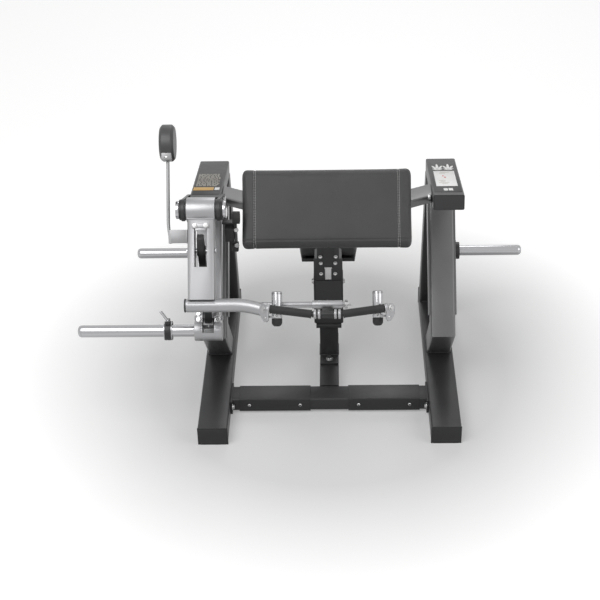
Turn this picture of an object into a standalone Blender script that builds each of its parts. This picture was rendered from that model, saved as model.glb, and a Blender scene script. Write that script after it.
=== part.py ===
"""Plate-loaded preacher curl machine, one named object for each sub-part.

Metres, +Z up. Seen from the front (the side that the grips are on) +X is to the
right and +Y points away, towards the user's seat. Design coordinates start at the
front end of the floor rails; the last step centres the machine on the origin.
"""
import math

import bmesh
import bpy
from mathutils import Matrix, Vector

# Fit
GAP = 0.0003
RUNNING_CLEARANCE = 0.001
WELD_SINK = 0.001
PLATE_EDGE = 0.0015

# Floor rails
SIDE_X = 0.467
RAIL_WIDTH = 0.120
RAIL_HEIGHT = 0.078
RAIL_LENGTH = 1.004
RAIL_WALL = 0.003
FOOT_HEIGHT = 0.005
CAP_THICKNESS = 0.003
CAP_OVERHANG = 0.001
CAP_FOOT_LENGTH = 0.045
CAP_FOOT_INSET = 0.010
CAP_LIFT = 0.001

# Front legs: each is bent at a knee, with plates along the sides of its upper run
LEG_WIDTH = 0.100
LEG_DEPTH = 0.090
LEG_WALL = 0.004
LEG_FOOT_Y = 0.563
KNEE_Y = 0.371
KNEE_Z = 0.302
LEG_UPPER_ANGLE = math.radians(51.6)
LEG_PLATE_THICKNESS = 0.006
LEG_PLATE_DEPTH = 0.060
LEG_PLATE_SETBACK = 0.010
LEG_PLATE_KNEE_GAP = 0.055
LEG_PLATE_SINK = 0.0005

# Rear legs
REAR_LEG_DEPTH = 0.080
REAR_LEG_FOOT_Y = 0.936
REAR_LEG_TILT = math.radians(13.3)

# Top beams, which rise towards the front
BEAM_WIDTH = 0.120
BEAM_HEIGHT = 0.061
BEAM_WALL = 0.003
BEAM_FRONT_Y = 0.318
BEAM_FRONT_TOP_Z = 0.961
BEAM_LENGTH = 0.480
BEAM_RISE = math.radians(11.5)
VENT_RADIUS = 0.006
VENT_BELOW = 0.010
VENT_ABOVE = 0.020
END_PLATE_INSET = 0.0006
PLACARD_THICKNESS = 0.001
PLACARD_MARGIN = 0.012
PLACARD_LENGTH = 0.200
PLACARD_FRONT = 0.030

# Front cross member between the rails, with bolted end flanges and two covers
CROSS_FRONT_Y = 0.205
CROSS_DEPTH = 0.090
CROSS_HEIGHT = 0.058
CROSS_BOTTOM_Z = 0.011
CROSS_WALL = 0.003
FLANGE_THICKNESS = 0.008
FLANGE_DEPTH = 0.130
FLANGE_HEIGHT = 0.062
FLANGE_BOLT_STEP = 0.011
CROSS_BORE = 0.030
BOLT_HEAD_RADIUS = 0.0085
BOLT_HEAD_HEIGHT = 0.006
BOLT_SINK = 0.002
SMALL_BOLT_RADIUS = 0.006
SMALL_BOLT_HEIGHT = 0.005
COVER_INNER_X = 0.078
COVER_OUTER_X = 0.372
COVER_THICKNESS = 0.002
COVER_BOLT_X = (0.120, 0.330)
COVER_BOLT_HEIGHT = 0.003

# Centre base tube and the column that carries the seat
CENTRE_TUBE_WIDTH = 0.080
CENTRE_TUBE_HEIGHT = 0.066
CENTRE_TUBE_END_Y = 0.680
BASE_FOOT_WIDTH = 0.060
BASE_FOOT_LENGTH = 0.050
BASE_FOOT_INSET = 0.030
COLUMN_WIDTH = 0.078
COLUMN_DEPTH = 0.078
COLUMN_FRONT_Y = 0.500
COLUMN_WALL = 0.003
COLUMN_TOP_Z = 0.245
FOOT_PLATE_FRONT = 0.062
FOOT_PLATE_THICKNESS = 0.008
FOOT_BOLT_REACH = 0.030
FOOT_BOLT_RADIUS = 0.011
COLUMN_BORE = 0.050
COLUMN_BORE_FLOOR = 0.080
COLUMN_FLANGE_WIDTH = 0.106
COLUMN_FLANGE_DEPTH = 0.106
COLUMN_FLANGE_THICKNESS = 0.018
SLEEVE_WIDTH = 0.122
SLEEVE_DEPTH = 0.090
SLEEVE_HEIGHT = 0.215
SLEEVE_WALL = 0.005
SLEEVE_BOLT_DROP = 0.017
SLEEVE_BOLT_FORWARD = 0.020

# Seat on its sliding post
POST_CLEARANCE = 0.0005
POST_BOTTOM_Z = 0.290
POST_TOP_Z = 0.565
SEAT_BRACKET_WIDTH = 0.118
SEAT_BRACKET_GAP = 0.002
SEAT_BRACKET_HEIGHT = 0.103
SEAT_BRACKET_THICKNESS = 0.008
SEAT_BRACKET_EDGE = 0.002
HEAD_CHANNEL_WIDTH = 0.091
HEAD_CHANNEL_DEPTH = 0.030
HEAD_CHANNEL_HEIGHT = 0.092
HEAD_CHANNEL_EDGE = 0.004
HEAD_STRIP_WIDTH = 0.036
HEAD_STRIP_BOTTOM = 0.069
STRIP_THICKNESS = 0.005
POST_LID_THICKNESS = 0.004
BRACKET_BOLTS = ((0.0290, 0.033), (0.0295, 0.084), (0.0315, 0.115))
SEAT_LEVEL_Z = 0.4895
SEAT_RAIL_WIDTH = 0.042
SEAT_RAIL_HEIGHT = 0.026
SEAT_RAIL_LENGTH = 0.310
SEAT_RAIL_EDGE = 0.003
SEAT_BOARD_THICKNESS = 0.015
BOARD_INSET = 0.004
SEAT_THICKNESS = 0.065
SEAT_ROLL_RADIUS = 0.020
SEAT_CROWN = 0.010
SEAT_TUCK = 0.012
SEAT_FRONT_Y = 0.590
SEAT_LENGTH = 0.340
SEAT_FRONT_WIDTH = 0.228
SEAT_REAR_WIDTH = 0.300
RELEASE_WIDTH = 0.026
RELEASE_LENGTH = 0.058
RELEASE_RISE = 0.064
RELEASE_THICKNESS = 0.005
RELEASE_KNUCKLE = 0.0035
RELEASE_OVERHANG = 0.002

# Arm pad, its backboard and the two cross arms
PAD_WIDTH = 0.646
PAD_LENGTH = 0.304
PAD_THICKNESS = 0.066
PAD_CROWN = 0.004
PAD_TUCK = 0.004
PAD_SLOPE = math.radians(49.9)
PAD_CENTRE_Y = 0.262
PAD_CENTRE_Z = 0.938
PAD_END_RADIUS = 0.018
PAD_ROLL_RADIUS = 0.029
PAD_SEAM_X = 0.272
SEAM_DEPTH = 0.0025
SEAM_REACH = 0.006
SEAM_SPREAD = 0.007
BOARD_WIDTH = 0.600
BOARD_LENGTH = 0.260
BOARD_THICKNESS = 0.012
BOARD_EDGE = 0.003
ARM_DEPTH = 0.088
ARM_HEIGHT = 0.034
ARM_WALL = 0.003
ARM_OUTER_Y = 0.436
ARM_OUTER_Z = 0.903
ARM_INNER_X = 0.240
ARM_CLEARANCE = 0.004
ARM_BOLT_REACH = 0.052
ARM_FLANGE_THICKNESS = 0.008
ARM_FLANGE_DEPTH = 0.124
ARM_FLANGE_HEIGHT = 0.054
PAD_FOOT_WIDTH = 0.090
PAD_FOOT_LENGTH = 0.120
PAD_FOOT_THICKNESS = 0.008
PAD_WEB_WIDTH = 0.070
PAD_WEB_THICKNESS = 0.030
PAD_WEB_REACH = 0.3
PAD_FOOT_SHIFT = 0.020

# Storage horns on the sides of the rear legs
STORAGE_Y = 0.862
STORAGE_Z = 0.372
STORAGE_RADIUS = 0.0225
STORAGE_LENGTH = 0.269
STORAGE_FLANGE_RADIUS = 0.037
STORAGE_FLANGE_THICKNESS = 0.042
STORAGE_PLATE_WIDTH = 0.060
STORAGE_PLATE_HEIGHT = 0.110
STORAGE_PLATE_THICKNESS = 0.008
STORAGE_PLATE_EDGE = 0.001
STORAGE_BOLT_RISE = 0.046
STORAGE_BOLT_RADIUS = 0.007

# Elbow pivot on the left side
PIVOT_Y = 0.167
PIVOT_Z = 0.995
SHAFT_RADIUS = 0.020
HUB_RADIUS = 0.046
HUB_WIDTH = 0.106
CHEEK_THICKNESS = 0.012
CHEEK_RADIUS = 0.043
BOSS_RADIUS = 0.0385
BOSS_THICKNESS = 0.020
CHEEK_DROP = 0.012
CHEEK_FOOT = 0.060
CHEEK_RISE = 0.006
CHEEK_BOLTS = ((0.012, 0.018), (0.026, 0.044))
RETAINER_RADIUS = 0.034
RETAINER_THICKNESS = 0.013
RETAINER_EDGE = 0.0034
RETAINER_EDGE_LENGTH = 0.003

# User lever, in its own frame: s runs down the lever and n towards the front
LEVER_TILT = math.radians(34.5)
LEVER_WIDTH = 0.100
LEVER_DEPTH = 0.060
LEVER_WALL = 0.005
LEVER_START = 0.0276
LEVER_END = 0.336
SLOT_WIDTH = 0.047
SLOT_START = 0.054
SLOT_END = 0.214
ROD_PIN_DROP = 0.153
ROD_PIN_RADIUS = 0.007
ROD_PIN_HEAD_RADIUS = 0.010
ROD_PIN_HEAD_THICKNESS = 0.005
CLAMP_MARGIN = 0.008
CLAMP_THICKNESS = 0.008
CLAMP_HEIGHT = 0.016
CLAMP_BOLT_X = 0.019
CLAMP_EDGE = 0.001
BAR_DROP = 0.357
BAR_RADIUS = 0.0250
BAR_LEFT_X = -0.526
BAR_RIGHT_X = -0.236
BAR_BEND_X = -0.345
BAR_BEND_DROP = 0.020
BAR_BEND_FORWARD = 0.014
BAR_BEND_STEPS = 3
BAR_CHAMFER = 0.004
BAR_SHAFT_RADIUS = 0.011
BAR_SHAFT_END_X = 0.064
PLUG_OVERHANG = 0.0008
PLUG_THICKNESS = 0.006
PLUG_EDGE = 0.003
NUT_RADIUS = 0.0165
NUT_THICKNESS = 0.009
NUT_STUD_RADIUS = 0.009
NUT_STUD_LENGTH = 0.006

# Grip yoke on the bar's shaft
YOKE_SLEEVE_RADIUS = 0.0150
YOKE_SLEEVE_HALF = 0.056
GRIP_FORWARD = 0.072
GRIP_INNER_X = 0.054
GRIP_OUTER_X = 0.211
GRIP_INNER_DROP = 0.036
GRIP_OUTER_DROP = 0.016
GRIP_RADIUS = 0.0150
GRIP_CORE_RADIUS = 0.0100
GRIP_BORE_REACH = 0.020
RING_RADIUS = 0.0175
RING_WIDTH = 0.0095
RING_PLACES = (0.0300, 0.0450)
RING_SINK = 0.002
HANGER_WIDTH = 0.046
HANGER_OVERHANG = 0.012
HANGER_DEPTH = 0.026
HANGER_SHIFT = 0.003
HANGER_DROP_SHARE = 0.62
HANGER_FALL = 0.004
BEND_OVERLAP = 0.004
YOKE_END_X = 0.250
POST_X = 0.186
HANDLE_POST_RADIUS = 0.019
HANDLE_POST_RISE = 0.048
HANDLE_POST_DROP = 0.050
HANDLE_CAP_LENGTH = 0.030
HANDLE_CAP_STRAIGHT = 0.022
HANDLE_CAP_END_RADIUS = 0.01045
HANDLE_POST_GAP = 0.0015
END_COLLAR_RADIUS = 0.0185
END_COLLAR_WIDTH = 0.010
END_PLATE_STEP = 0.013
END_PLATE_THICKNESS = 0.008
END_PLATE_OUTLINE = ((-0.017, 0.010), (0, 0.019), (0.017, 0.010),
                     (0.017, -0.034), (0.006, -0.048), (-0.017, -0.030))
TIE_DEPTH = 0.020
TIE_HEIGHT = 0.014
TIE_DROP = 0.022

# Counterweight on the lever's outer side
WEIGHT_BAR_X = -0.590
WEIGHT_BAR_WIDTH = 0.038
WEIGHT_BAR_THICKNESS = 0.008
COUNTER_RISE = 0.250
COUNTER_RADIUS = 0.069
COUNTER_THICKNESS = 0.054
COUNTER_EDGE = 0.008
WEIGHT_BAR_SHORT = 0.010
BRACKET_DROP = 0.100
BRACKET_HEIGHT = 0.050
BRACKET_FOOT_WIDTH = 0.036
BRACKET_FOOT_THICKNESS = 0.006
BRACKET_FOOT_FORWARD = 0.004

# Weight arm behind the lever
ARM_PIVOT_Y = 0.475
ARM_PIVOT_Z = 0.808
WEIGHT_ARM_TILT = math.radians(45.0)
WEIGHT_ARM_LENGTH = 0.481
WEIGHT_ARM_DEPTH = 0.060
WEIGHT_HEAD_RADIUS = 0.035
WEIGHT_HUB_RADIUS = 0.041
WEIGHT_HUB_WIDTH = 0.107
FORK_GAP = 0.046
FORK_LENGTH = 0.146
FORK_OVERHANG = 0.017
ROD_PIVOT_SETBACK = 0.025
FORK_BOLT_SETBACK = 0.049
FORK_BOLT_RADIUS = 0.010
FORK_WEB_THICKNESS = 0.012
FORK_WEB_HEIGHT = 0.060
FORK_WEB_SETBACK = 0.100
FORK_WEB_SINK = 0.005
WEIGHT_PIVOT_RADIUS = 0.015
HANGER_THICKNESS = 0.008
HANGER_HALF_LENGTH = 0.050
HANGER_NOSE_RADIUS = 0.030
PIN_HEAD_THICKNESS = 0.008
PIN_HEAD_RADIUS = 0.022
HORN_RADIUS = 0.024
HORN_TIP_X = -0.981
HORN_SPIGOT = 0.012
SPIGOT_SHARE = 0.6
HORN_TIP_SHARE = 0.6

# Connecting rod
ROD_WIDTH = 0.027
ROD_DEPTH = 0.030
ROD_RISE = 0.072
ROD_EDGE = 0.003
ROD_HEAD_RADIUS = 0.019
ROD_FOOT_RADIUS = 0.016
ROD_END_WIDTH = 0.040

# Plate collar on the weight horn
COLLAR_X = -0.625
COLLAR_WIDTH = 0.032
COLLAR_RADIUS = 0.038
COLLAR_LEVER_LENGTH = 0.052
COLLAR_LEVER_ROOT = 0.0075
COLLAR_LEVER_RADIUS = 0.0055
COLLAR_LEVER_WIDTH = 0.019
COLLAR_LEVER_LEAN = math.radians(29)
COLLAR_LUG_RISE = 0.014
COLLAR_LUG_LENGTH = 0.016
COLLAR_LUG_THICKNESS = 0.005
COLLAR_LUG_GAP = 0.020
COLLAR_LUG_SINK = 0.002

PAINT = "graphite_paint"
SILVER = "silver_paint"
CHROME = "polished_steel"
BLACK = "black_plastic"
RUBBER = "black_rubber"
VINYL = "black_vinyl"
CARD = "placard_film"
CAST = "cast_weight"

FINISHES = {
    PAINT: ((0.055, 0.055, 0.058), 0.42, 0.55),
    SILVER: ((0.56, 0.56, 0.57), 0.35, 0.70),
    CHROME: ((0.75, 0.75, 0.76), 0.15, 1.00),
    BLACK: ((0.018, 0.018, 0.019), 0.45, 0.00),
    RUBBER: ((0.014, 0.014, 0.014), 0.75, 0.00),
    VINYL: ((0.030, 0.030, 0.032), 0.50, 0.00),
    CARD: ((0.62, 0.60, 0.55), 0.40, 0.00),
    CAST: ((0.030, 0.030, 0.032), 0.50, 0.30),
}
X_AXIS = Vector((1, 0, 0))
Y_AXIS = Vector((0, 1, 0))
Z_AXIS = Vector((0, 0, 1))
PARTS = None


def clear_scene():
    """Remove whatever the startup file holds."""
    for obj in list(bpy.data.objects):
        bpy.data.objects.remove(obj, do_unlink=True)


def new_collection(name):
    collection = bpy.data.collections.new(name)
    bpy.context.scene.collection.children.link(collection)
    return collection


def make_materials():
    """One Principled material for each finish."""
    for name, (colour, roughness, metallic) in FINISHES.items():
        material = bpy.data.materials.new(name)
        material.use_nodes = True
        shader = material.node_tree.nodes["Principled BSDF"]
        shader.inputs["Base Color"].default_value = (*colour, 1)
        shader.inputs["Roughness"].default_value = roughness
        shader.inputs["Metallic"].default_value = metallic
        material.diffuse_color = (*colour, 1)


def new_empty(name, location, parent=None, tilt=0.0):
    """An empty on a joint's axis; tilt turns it about X."""
    empty = bpy.data.objects.new(name, None)
    empty.location = location
    empty.rotation_euler = (tilt, 0, 0)
    empty.parent = parent
    PARTS.objects.link(empty)
    return empty


def add_object(name, mesh, finish, parent):
    """Put a mesh in the scene with its finish, under its parent."""
    obj = bpy.data.objects.new(name, mesh)
    obj.parent = parent
    if not mesh.materials:
        mesh.materials.append(bpy.data.materials[finish])
    PARTS.objects.link(obj)
    return obj


def from_bmesh(name, bm, finish, parent):
    mesh = bpy.data.meshes.new(name)
    bmesh.ops.recalc_face_normals(bm, faces=bm.faces)
    bm.to_mesh(mesh)
    bm.free()
    return add_object(name, mesh, finish, parent)


def evaluated_mesh(obj):
    """The object's mesh with its modifiers applied."""
    bpy.context.view_layer.update()
    graph = bpy.context.evaluated_depsgraph_get()
    return bpy.data.meshes.new_from_object(obj.evaluated_get(graph))


def combine(target, others, operation):
    """Join or cut others into target with exact Booleans, and remove them."""
    for other in others:
        modifier = target.modifiers.new(operation.lower(), "BOOLEAN")
        modifier.operation = operation
        modifier.solver = "EXACT"
        modifier.object = other
    mesh = evaluated_mesh(target)
    bm = bmesh.new()
    bm.from_mesh(mesh)
    bmesh.ops.remove_doubles(bm, verts=bm.verts, dist=2e-6)
    bmesh.ops.dissolve_degenerate(bm, dist=2e-6, edges=bm.edges)
    bm.to_mesh(mesh)
    bm.free()
    target.modifiers.clear()
    target.data = mesh
    for other in others:
        bpy.data.objects.remove(other, do_unlink=True)
    return target


def join(target, others):
    return combine(target, others, "UNION")


def cut(target, others):
    return combine(target, others, "DIFFERENCE")


def box(name, size, centre, finish, parent, bevel=0.0, tilt=0.0):
    """A box with its edges rounded by a Bevel modifier; tilt turns it about X."""
    bm = bmesh.new()
    bmesh.ops.create_cube(bm, size=1.0)
    bmesh.ops.scale(bm, vec=size, verts=bm.verts)
    obj = from_bmesh(name, bm, finish, parent)
    obj.location = centre
    obj.rotation_euler = (tilt, 0, 0)
    if bevel:
        modifier = obj.modifiers.new("bevel", "BEVEL")
        modifier.width = bevel
        modifier.segments = 2
    return obj


def cylinder(name, radius, start, end, finish, parent, end_radius=None, sides=28):
    """A round bar, or a cone, from start to end."""
    start = Vector(start)
    end = Vector(end)
    run = end - start
    bm = bmesh.new()
    bmesh.ops.create_cone(
        bm, cap_ends=True, segments=sides, radius1=radius,
        radius2=radius if end_radius is None else end_radius, depth=run.length)
    turn = Z_AXIS.rotation_difference(run.normalized()).to_matrix().to_4x4()
    bmesh.ops.transform(bm, matrix=Matrix.Translation((start + end) / 2) @ turn, verts=bm.verts)
    return from_bmesh(name, bm, finish, parent)


def turned(name, profile, finish, parent, sides=28):
    """A solid turned about X: profile lists (x, radius) and starts and ends on the axis."""
    bm = bmesh.new()
    verts = [bm.verts.new((x, 0, radius)) for x, radius in profile]
    for first, second in zip(verts, verts[1:]):
        bm.edges.new((first, second))
    bmesh.ops.spin(
        bm, geom=bm.verts[:] + bm.edges[:], axis=X_AXIS, cent=(0, 0, 0),
        angle=math.tau, steps=sides, use_merge=True)
    bmesh.ops.remove_doubles(bm, verts=bm.verts, dist=1e-6)
    return from_bmesh(name, bm, finish, parent)


def plate(name, outline, thickness, x_centre, finish, parent):
    """A flat outline of (y, z) points, as thick as given along X."""
    curve = bpy.data.curves.new(name, "CURVE")
    curve.dimensions = "2D"
    curve.fill_mode = "BOTH"
    curve.extrude = thickness / 2
    spline = curve.splines.new("POLY")
    spline.points.add(len(outline) - 1)
    for point, (y, z) in zip(spline.points, outline):
        point.co = (y, z, 0, 1)
    spline.use_cyclic_u = True
    flat = bpy.data.objects.new(name + "_outline", curve)
    PARTS.objects.link(flat)
    mesh = evaluated_mesh(flat)
    bpy.data.objects.remove(flat, do_unlink=True)
    turn = Matrix(((0, 0, 1, x_centre), (1, 0, 0, 0), (0, 1, 0, 0), (0, 0, 0, 1)))
    bm = bmesh.new()
    bm.from_mesh(mesh)
    bmesh.ops.remove_doubles(bm, verts=bm.verts, dist=1e-6)
    bmesh.ops.transform(bm, matrix=turn, verts=bm.verts)
    return from_bmesh(name, bm, finish, parent)


def arc(centre, radius, start, end, steps=10):
    """Points on an arc in the (y, z) plane, angles in radians."""
    return [
        (centre[0] + radius * math.cos(start + (end - start) * i / steps),
         centre[1] + radius * math.sin(start + (end - start) * i / steps))
        for i in range(steps + 1)]


def rounded_section(width, depth, radius, steps=3):
    """Corner-rounded rectangle as (across, through) points."""
    points = []
    for quarter, (sx, sy) in enumerate(((1, 1), (-1, 1), (-1, -1), (1, -1))):
        centre = (sx * (width / 2 - radius), sy * (depth / 2 - radius))
        points += arc(centre, radius, quarter * math.pi / 2, (quarter + 1) * math.pi / 2, steps)
    return points


def section_ring(bm, section, point, run, side, normal):
    """The section's points carried along the run onto the plane through point."""
    through = side.cross(run)
    ring = []
    for across, depth in section:
        offset = side * across + through * depth
        slide = -offset.dot(normal) / run.dot(normal)
        ring.append(bm.verts.new(point + offset + run * slide))
    return ring


def bridge(bm, first, second):
    count = len(first)
    for i in range(count):
        j = (i + 1) % count
        bm.faces.new((first[i], first[j], second[j], second[i]))


def tube(name, path, side, width, depth, wall, finish, parent, ends=(None, None)):
    """An open-ended box-section tube along path, mitred at its bends.

    side is the direction of width; ends gives the normals of the planes that cut
    the two ends, or None for a square cut.
    """
    path = [Vector(p) for p in path]
    runs = [(b - a).normalized() for a, b in zip(path, path[1:])]
    normals = [runs[0] if ends[0] is None else Vector(ends[0])]
    normals += [(a + b).normalized() for a, b in zip(runs, runs[1:])]
    normals.append(runs[-1] if ends[1] is None else Vector(ends[1]))
    radius = 2 * wall
    bm = bmesh.new()
    shells = []
    for inset in (0.0, wall):
        section = rounded_section(width - 2 * inset, depth - 2 * inset, radius - inset)
        rings = []
        for index, point in enumerate(path):
            run = runs[min(index, len(runs) - 1)]
            rings.append(section_ring(bm, section, point, run, side, normals[index]))
        for first, second in zip(rings, rings[1:]):
            bridge(bm, first, second)
        shells.append(rings)
    outer, inner = shells
    bridge(bm, outer[0], inner[0])
    bridge(bm, outer[-1], inner[-1])
    return from_bmesh(name, bm, finish, parent)


def cushion(name, stations, shape, parent):
    """A closed cushion: a grid over a box's faces, each point placed by shape."""
    xs, ys, zs = stations
    last = (len(xs) - 1, len(ys) - 1, len(zs) - 1)
    bm = bmesh.new()
    verts = {}
    for i, x in enumerate(xs):
        for j, y in enumerate(ys):
            for k, z in enumerate(zs):
                if i in (0, last[0]) or j in (0, last[1]) or k in (0, last[2]):
                    verts[i, j, k] = bm.verts.new(shape(x, y, z))
    for axis in range(3):
        first, second = [a for a in range(3) if a != axis]
        for end in (0, last[axis]):
            for a in range(last[first]):
                for b in range(last[second]):
                    corners = []
                    for da, db in ((0, 0), (1, 0), (1, 1), (0, 1)):
                        key = [0, 0, 0]
                        key[axis], key[first], key[second] = end, a + da, b + db
                        corners.append(verts[tuple(key)])
                    bm.faces.new(corners)
    return from_bmesh(name, bm, VINYL, parent)


def padded_shape(width, length, thickness, radius, crown, tuck, seams, taper=0.0, end=None):
    """Where a cushion's box point goes: round edges, crowned top, drawn-in sides.

    radius rounds the long edges and end, where it differs, the two ends.
    """
    half = Vector((width / 2, length / 2, thickness / 2))
    reach = Vector((radius if end is None else end, radius, radius * 0.9))
    core = half - reach

    def place(x, y, z):
        point = Vector((x, y, z))
        inner = Vector([max(-c, min(c, p)) for p, c in zip(point, core)])
        outward = Vector([v / r for v, r in zip(point - inner, reach)])
        if outward.length > 1e-9:
            size = outward.normalized() * min(1.0, max(abs(v) for v in outward))
            point = inner + Vector([v * r for v, r in zip(size, reach)])
        spread = max(0.0, 1 - (x / half.x) ** 2) * max(0.0, 1 - (y / half.y) ** 2)
        waist = 1 - (z / half.z) ** 2
        point.x *= 1 - tuck * waist
        point.y *= 1 - tuck * waist * width / length
        if z > 0:
            point.z += crown * spread * z / half.z
        for seam in seams:
            groove = SEAM_DEPTH * math.exp(-((x - seam) / SEAM_REACH) ** 2)
            if z > 0:
                point.z -= groove
            point.y -= math.copysign(groove, y) if abs(y) > core.y else 0.0
        point.x *= 1 - taper * (0.5 - y / length)
        return point

    return place


def unit(angle):
    """Direction in the side plane, angle above +Y."""
    return Vector((0, math.cos(angle), math.sin(angle)))


# Places that several pieces share
RAIL_TOP = FOOT_HEIGHT + RAIL_HEIGHT
BEAM_DIRECTION = unit(math.pi - BEAM_RISE)
BEAM_UP = unit(math.pi / 2 - BEAM_RISE)
BEAM_FRONT_TOP = Vector((0, BEAM_FRONT_Y, BEAM_FRONT_TOP_Z))
BEAM_FRONT = BEAM_FRONT_TOP - BEAM_UP * BEAM_HEIGHT / 2
BEAM_REAR = BEAM_FRONT - BEAM_DIRECTION * BEAM_LENGTH
BEAM_UNDER = BEAM_FRONT_TOP - BEAM_UP * (BEAM_HEIGHT + GAP)
PIVOT = Vector((0, PIVOT_Y, PIVOT_Z))
ARM_PIVOT = Vector((0, ARM_PIVOT_Y, ARM_PIVOT_Z))


def under_beam(start, direction):
    """Where a line in the side plane meets the beam's underside."""
    reach = (BEAM_UNDER - start).dot(BEAM_UP) / direction.dot(BEAM_UP)
    return start + direction * reach


def bolt(name, place, direction, parent, radius=BOLT_HEAD_RADIUS, height=BOLT_HEAD_HEIGHT,
         sunk=BOLT_SINK):
    """A hexagon bolt head that stands on place and is sunk a little into its plate."""
    place = Vector(place)
    direction = Vector(direction).normalized()
    return cylinder(name, radius, place - direction * sunk, place + direction * height,
                    SILVER, parent, sides=6)


def make_rail(side, sign, frame):
    """One floor rail and its two end caps with rubber feet."""
    x = sign * SIDE_X
    z = FOOT_HEIGHT + RAIL_HEIGHT / 2
    start = CAP_THICKNESS + GAP
    end = CAP_THICKNESS + GAP + RAIL_LENGTH
    tube(side + "_base_rail", [(x, start, z), (x, end, z)], X_AXIS,
         RAIL_WIDTH, RAIL_HEIGHT, RAIL_WALL, PAINT, frame)
    for place, outer, inward in (("front", 0.0, 1), ("rear", end + GAP + CAP_THICKNESS, -1)):
        name = side + "_" + place + "_cap"
        y = outer + inward * CAP_THICKNESS / 2
        size = (RAIL_WIDTH + 2 * CAP_OVERHANG, CAP_THICKNESS, RAIL_TOP + CAP_OVERHANG - CAP_LIFT)
        cap = box(name, size, (x, y, size[2] / 2 + CAP_LIFT), BLACK, frame)
        foot_size = (RAIL_WIDTH - 2 * CAP_FOOT_INSET, CAP_FOOT_LENGTH, FOOT_HEIGHT - GAP)
        foot_y = outer + inward * CAP_FOOT_LENGTH / 2
        foot = box(name + "_foot", foot_size, (x, foot_y, foot_size[2] / 2), BLACK, frame)
        join(cap, [foot])


def knee_and_top():
    """Centre points of the front leg: foot, knee and where it meets the beam."""
    knee = Vector((0, KNEE_Y, KNEE_Z))
    foot = Vector((0, LEG_FOOT_Y, RAIL_TOP + GAP))
    return foot, knee, under_beam(knee, unit(LEG_UPPER_ANGLE))


def make_front_leg(side, sign, frame):
    """A knee-bent box tube from the rail to the beam, plates along its upper run."""
    centre = X_AXIS * sign * SIDE_X
    foot, knee, top = knee_and_top()
    leg = tube(side + "_front_leg", [centre + foot, centre + knee, centre + top], X_AXIS,
               LEG_WIDTH, LEG_DEPTH, LEG_WALL, PAINT, frame, ends=(Z_AXIS, BEAM_UP))
    run = unit(LEG_UPPER_ANGLE)
    back = Vector((0, run.z, -run.y))
    for hand in (-1, 1):
        across = centre + X_AXIS * hand * (LEG_WIDTH + LEG_PLATE_THICKNESS) / 2
        shift = back * (LEG_PLATE_SETBACK + LEG_PLATE_DEPTH / 2 - LEG_DEPTH / 2)
        start = across + knee + run * LEG_PLATE_KNEE_GAP + shift
        end = across + under_beam(knee + shift, run)
        strip = side_plate(side + "_leg_plate", start, end, frame)
        join(leg, [strip])
    rear_top = rear_leg_line()[1]
    depth = 3 * REAR_LEG_DEPTH
    middle = rear_top + unit(REAR_LEG_TILT) * (depth / 2 - REAR_LEG_DEPTH / 2 - GAP)
    room = (2 * LEG_WIDTH, depth, 2 * depth)
    cut(leg, [box("rear_leg_room", room, centre + middle, PAINT, frame, tilt=REAR_LEG_TILT)])


def side_plate(name, start, end, frame):
    """A long plate whose top end is cut by the beam's underside."""
    bm = bmesh.new()
    run = (end - start).normalized()
    section = [(a * (LEG_PLATE_THICKNESS / 2 + LEG_PLATE_SINK), b * LEG_PLATE_DEPTH / 2)
               for a, b in ((1, 1), (-1, 1), (-1, -1), (1, -1))]
    first = section_ring(bm, section, start, run, X_AXIS, run)
    second = section_ring(bm, section, end, run, X_AXIS, BEAM_UP)
    bridge(bm, first, second)
    bm.faces.new(first)
    bm.faces.new(second)
    return from_bmesh(name, bm, PAINT, frame)


def rear_leg_line():
    """The rear leg's foot and top, both on its centre line."""
    foot = Vector((0, REAR_LEG_FOOT_Y, RAIL_TOP + GAP))
    return foot, under_beam(foot, unit(math.pi / 2 + REAR_LEG_TILT))


def make_rear_leg(side, sign, frame):
    centre = X_AXIS * sign * SIDE_X
    foot, top = rear_leg_line()
    tube(side + "_rear_leg", [centre + foot, centre + top], X_AXIS,
         RAIL_WIDTH, REAR_LEG_DEPTH, LEG_WALL, PAINT, frame, ends=(Z_AXIS, BEAM_UP))


def make_beam(side, sign, frame):
    """A closed box beam with a vent hole over the front leg, and its placard."""
    centre = X_AXIS * sign * SIDE_X
    beam = tube(side + "_top_beam", [centre + BEAM_REAR, centre + BEAM_FRONT], X_AXIS,
                BEAM_WIDTH, BEAM_HEIGHT, BEAM_WALL, PAINT, frame)
    ends = []
    for place, inward in ((BEAM_REAR, 1), (BEAM_FRONT, -1)):
        middle = centre + place + BEAM_DIRECTION * inward * (BEAM_WALL / 2 + END_PLATE_INSET)
        size = (BEAM_WIDTH - BEAM_WALL, BEAM_WALL, BEAM_HEIGHT - BEAM_WALL)
        ends.append(box(side + "_beam_end", size, middle, PAINT, frame, tilt=-BEAM_RISE))
    join(beam, ends)
    vent = centre + knee_and_top()[2]
    cut(beam, [cylinder(side + "_vent", VENT_RADIUS, vent - BEAM_UP * VENT_BELOW,
                        vent + BEAM_UP * VENT_ABOVE, PAINT, frame, sides=12)])
    along = PLACARD_FRONT + PLACARD_LENGTH / 2
    face = centre + BEAM_FRONT_TOP - BEAM_DIRECTION * along
    lift = BEAM_UP * (GAP + PLACARD_THICKNESS / 2)
    size = (BEAM_WIDTH - 2 * PLACARD_MARGIN, PLACARD_LENGTH, PLACARD_THICKNESS)
    box(side + "_placard", size, face + lift, CARD, frame, tilt=-BEAM_RISE)


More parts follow.
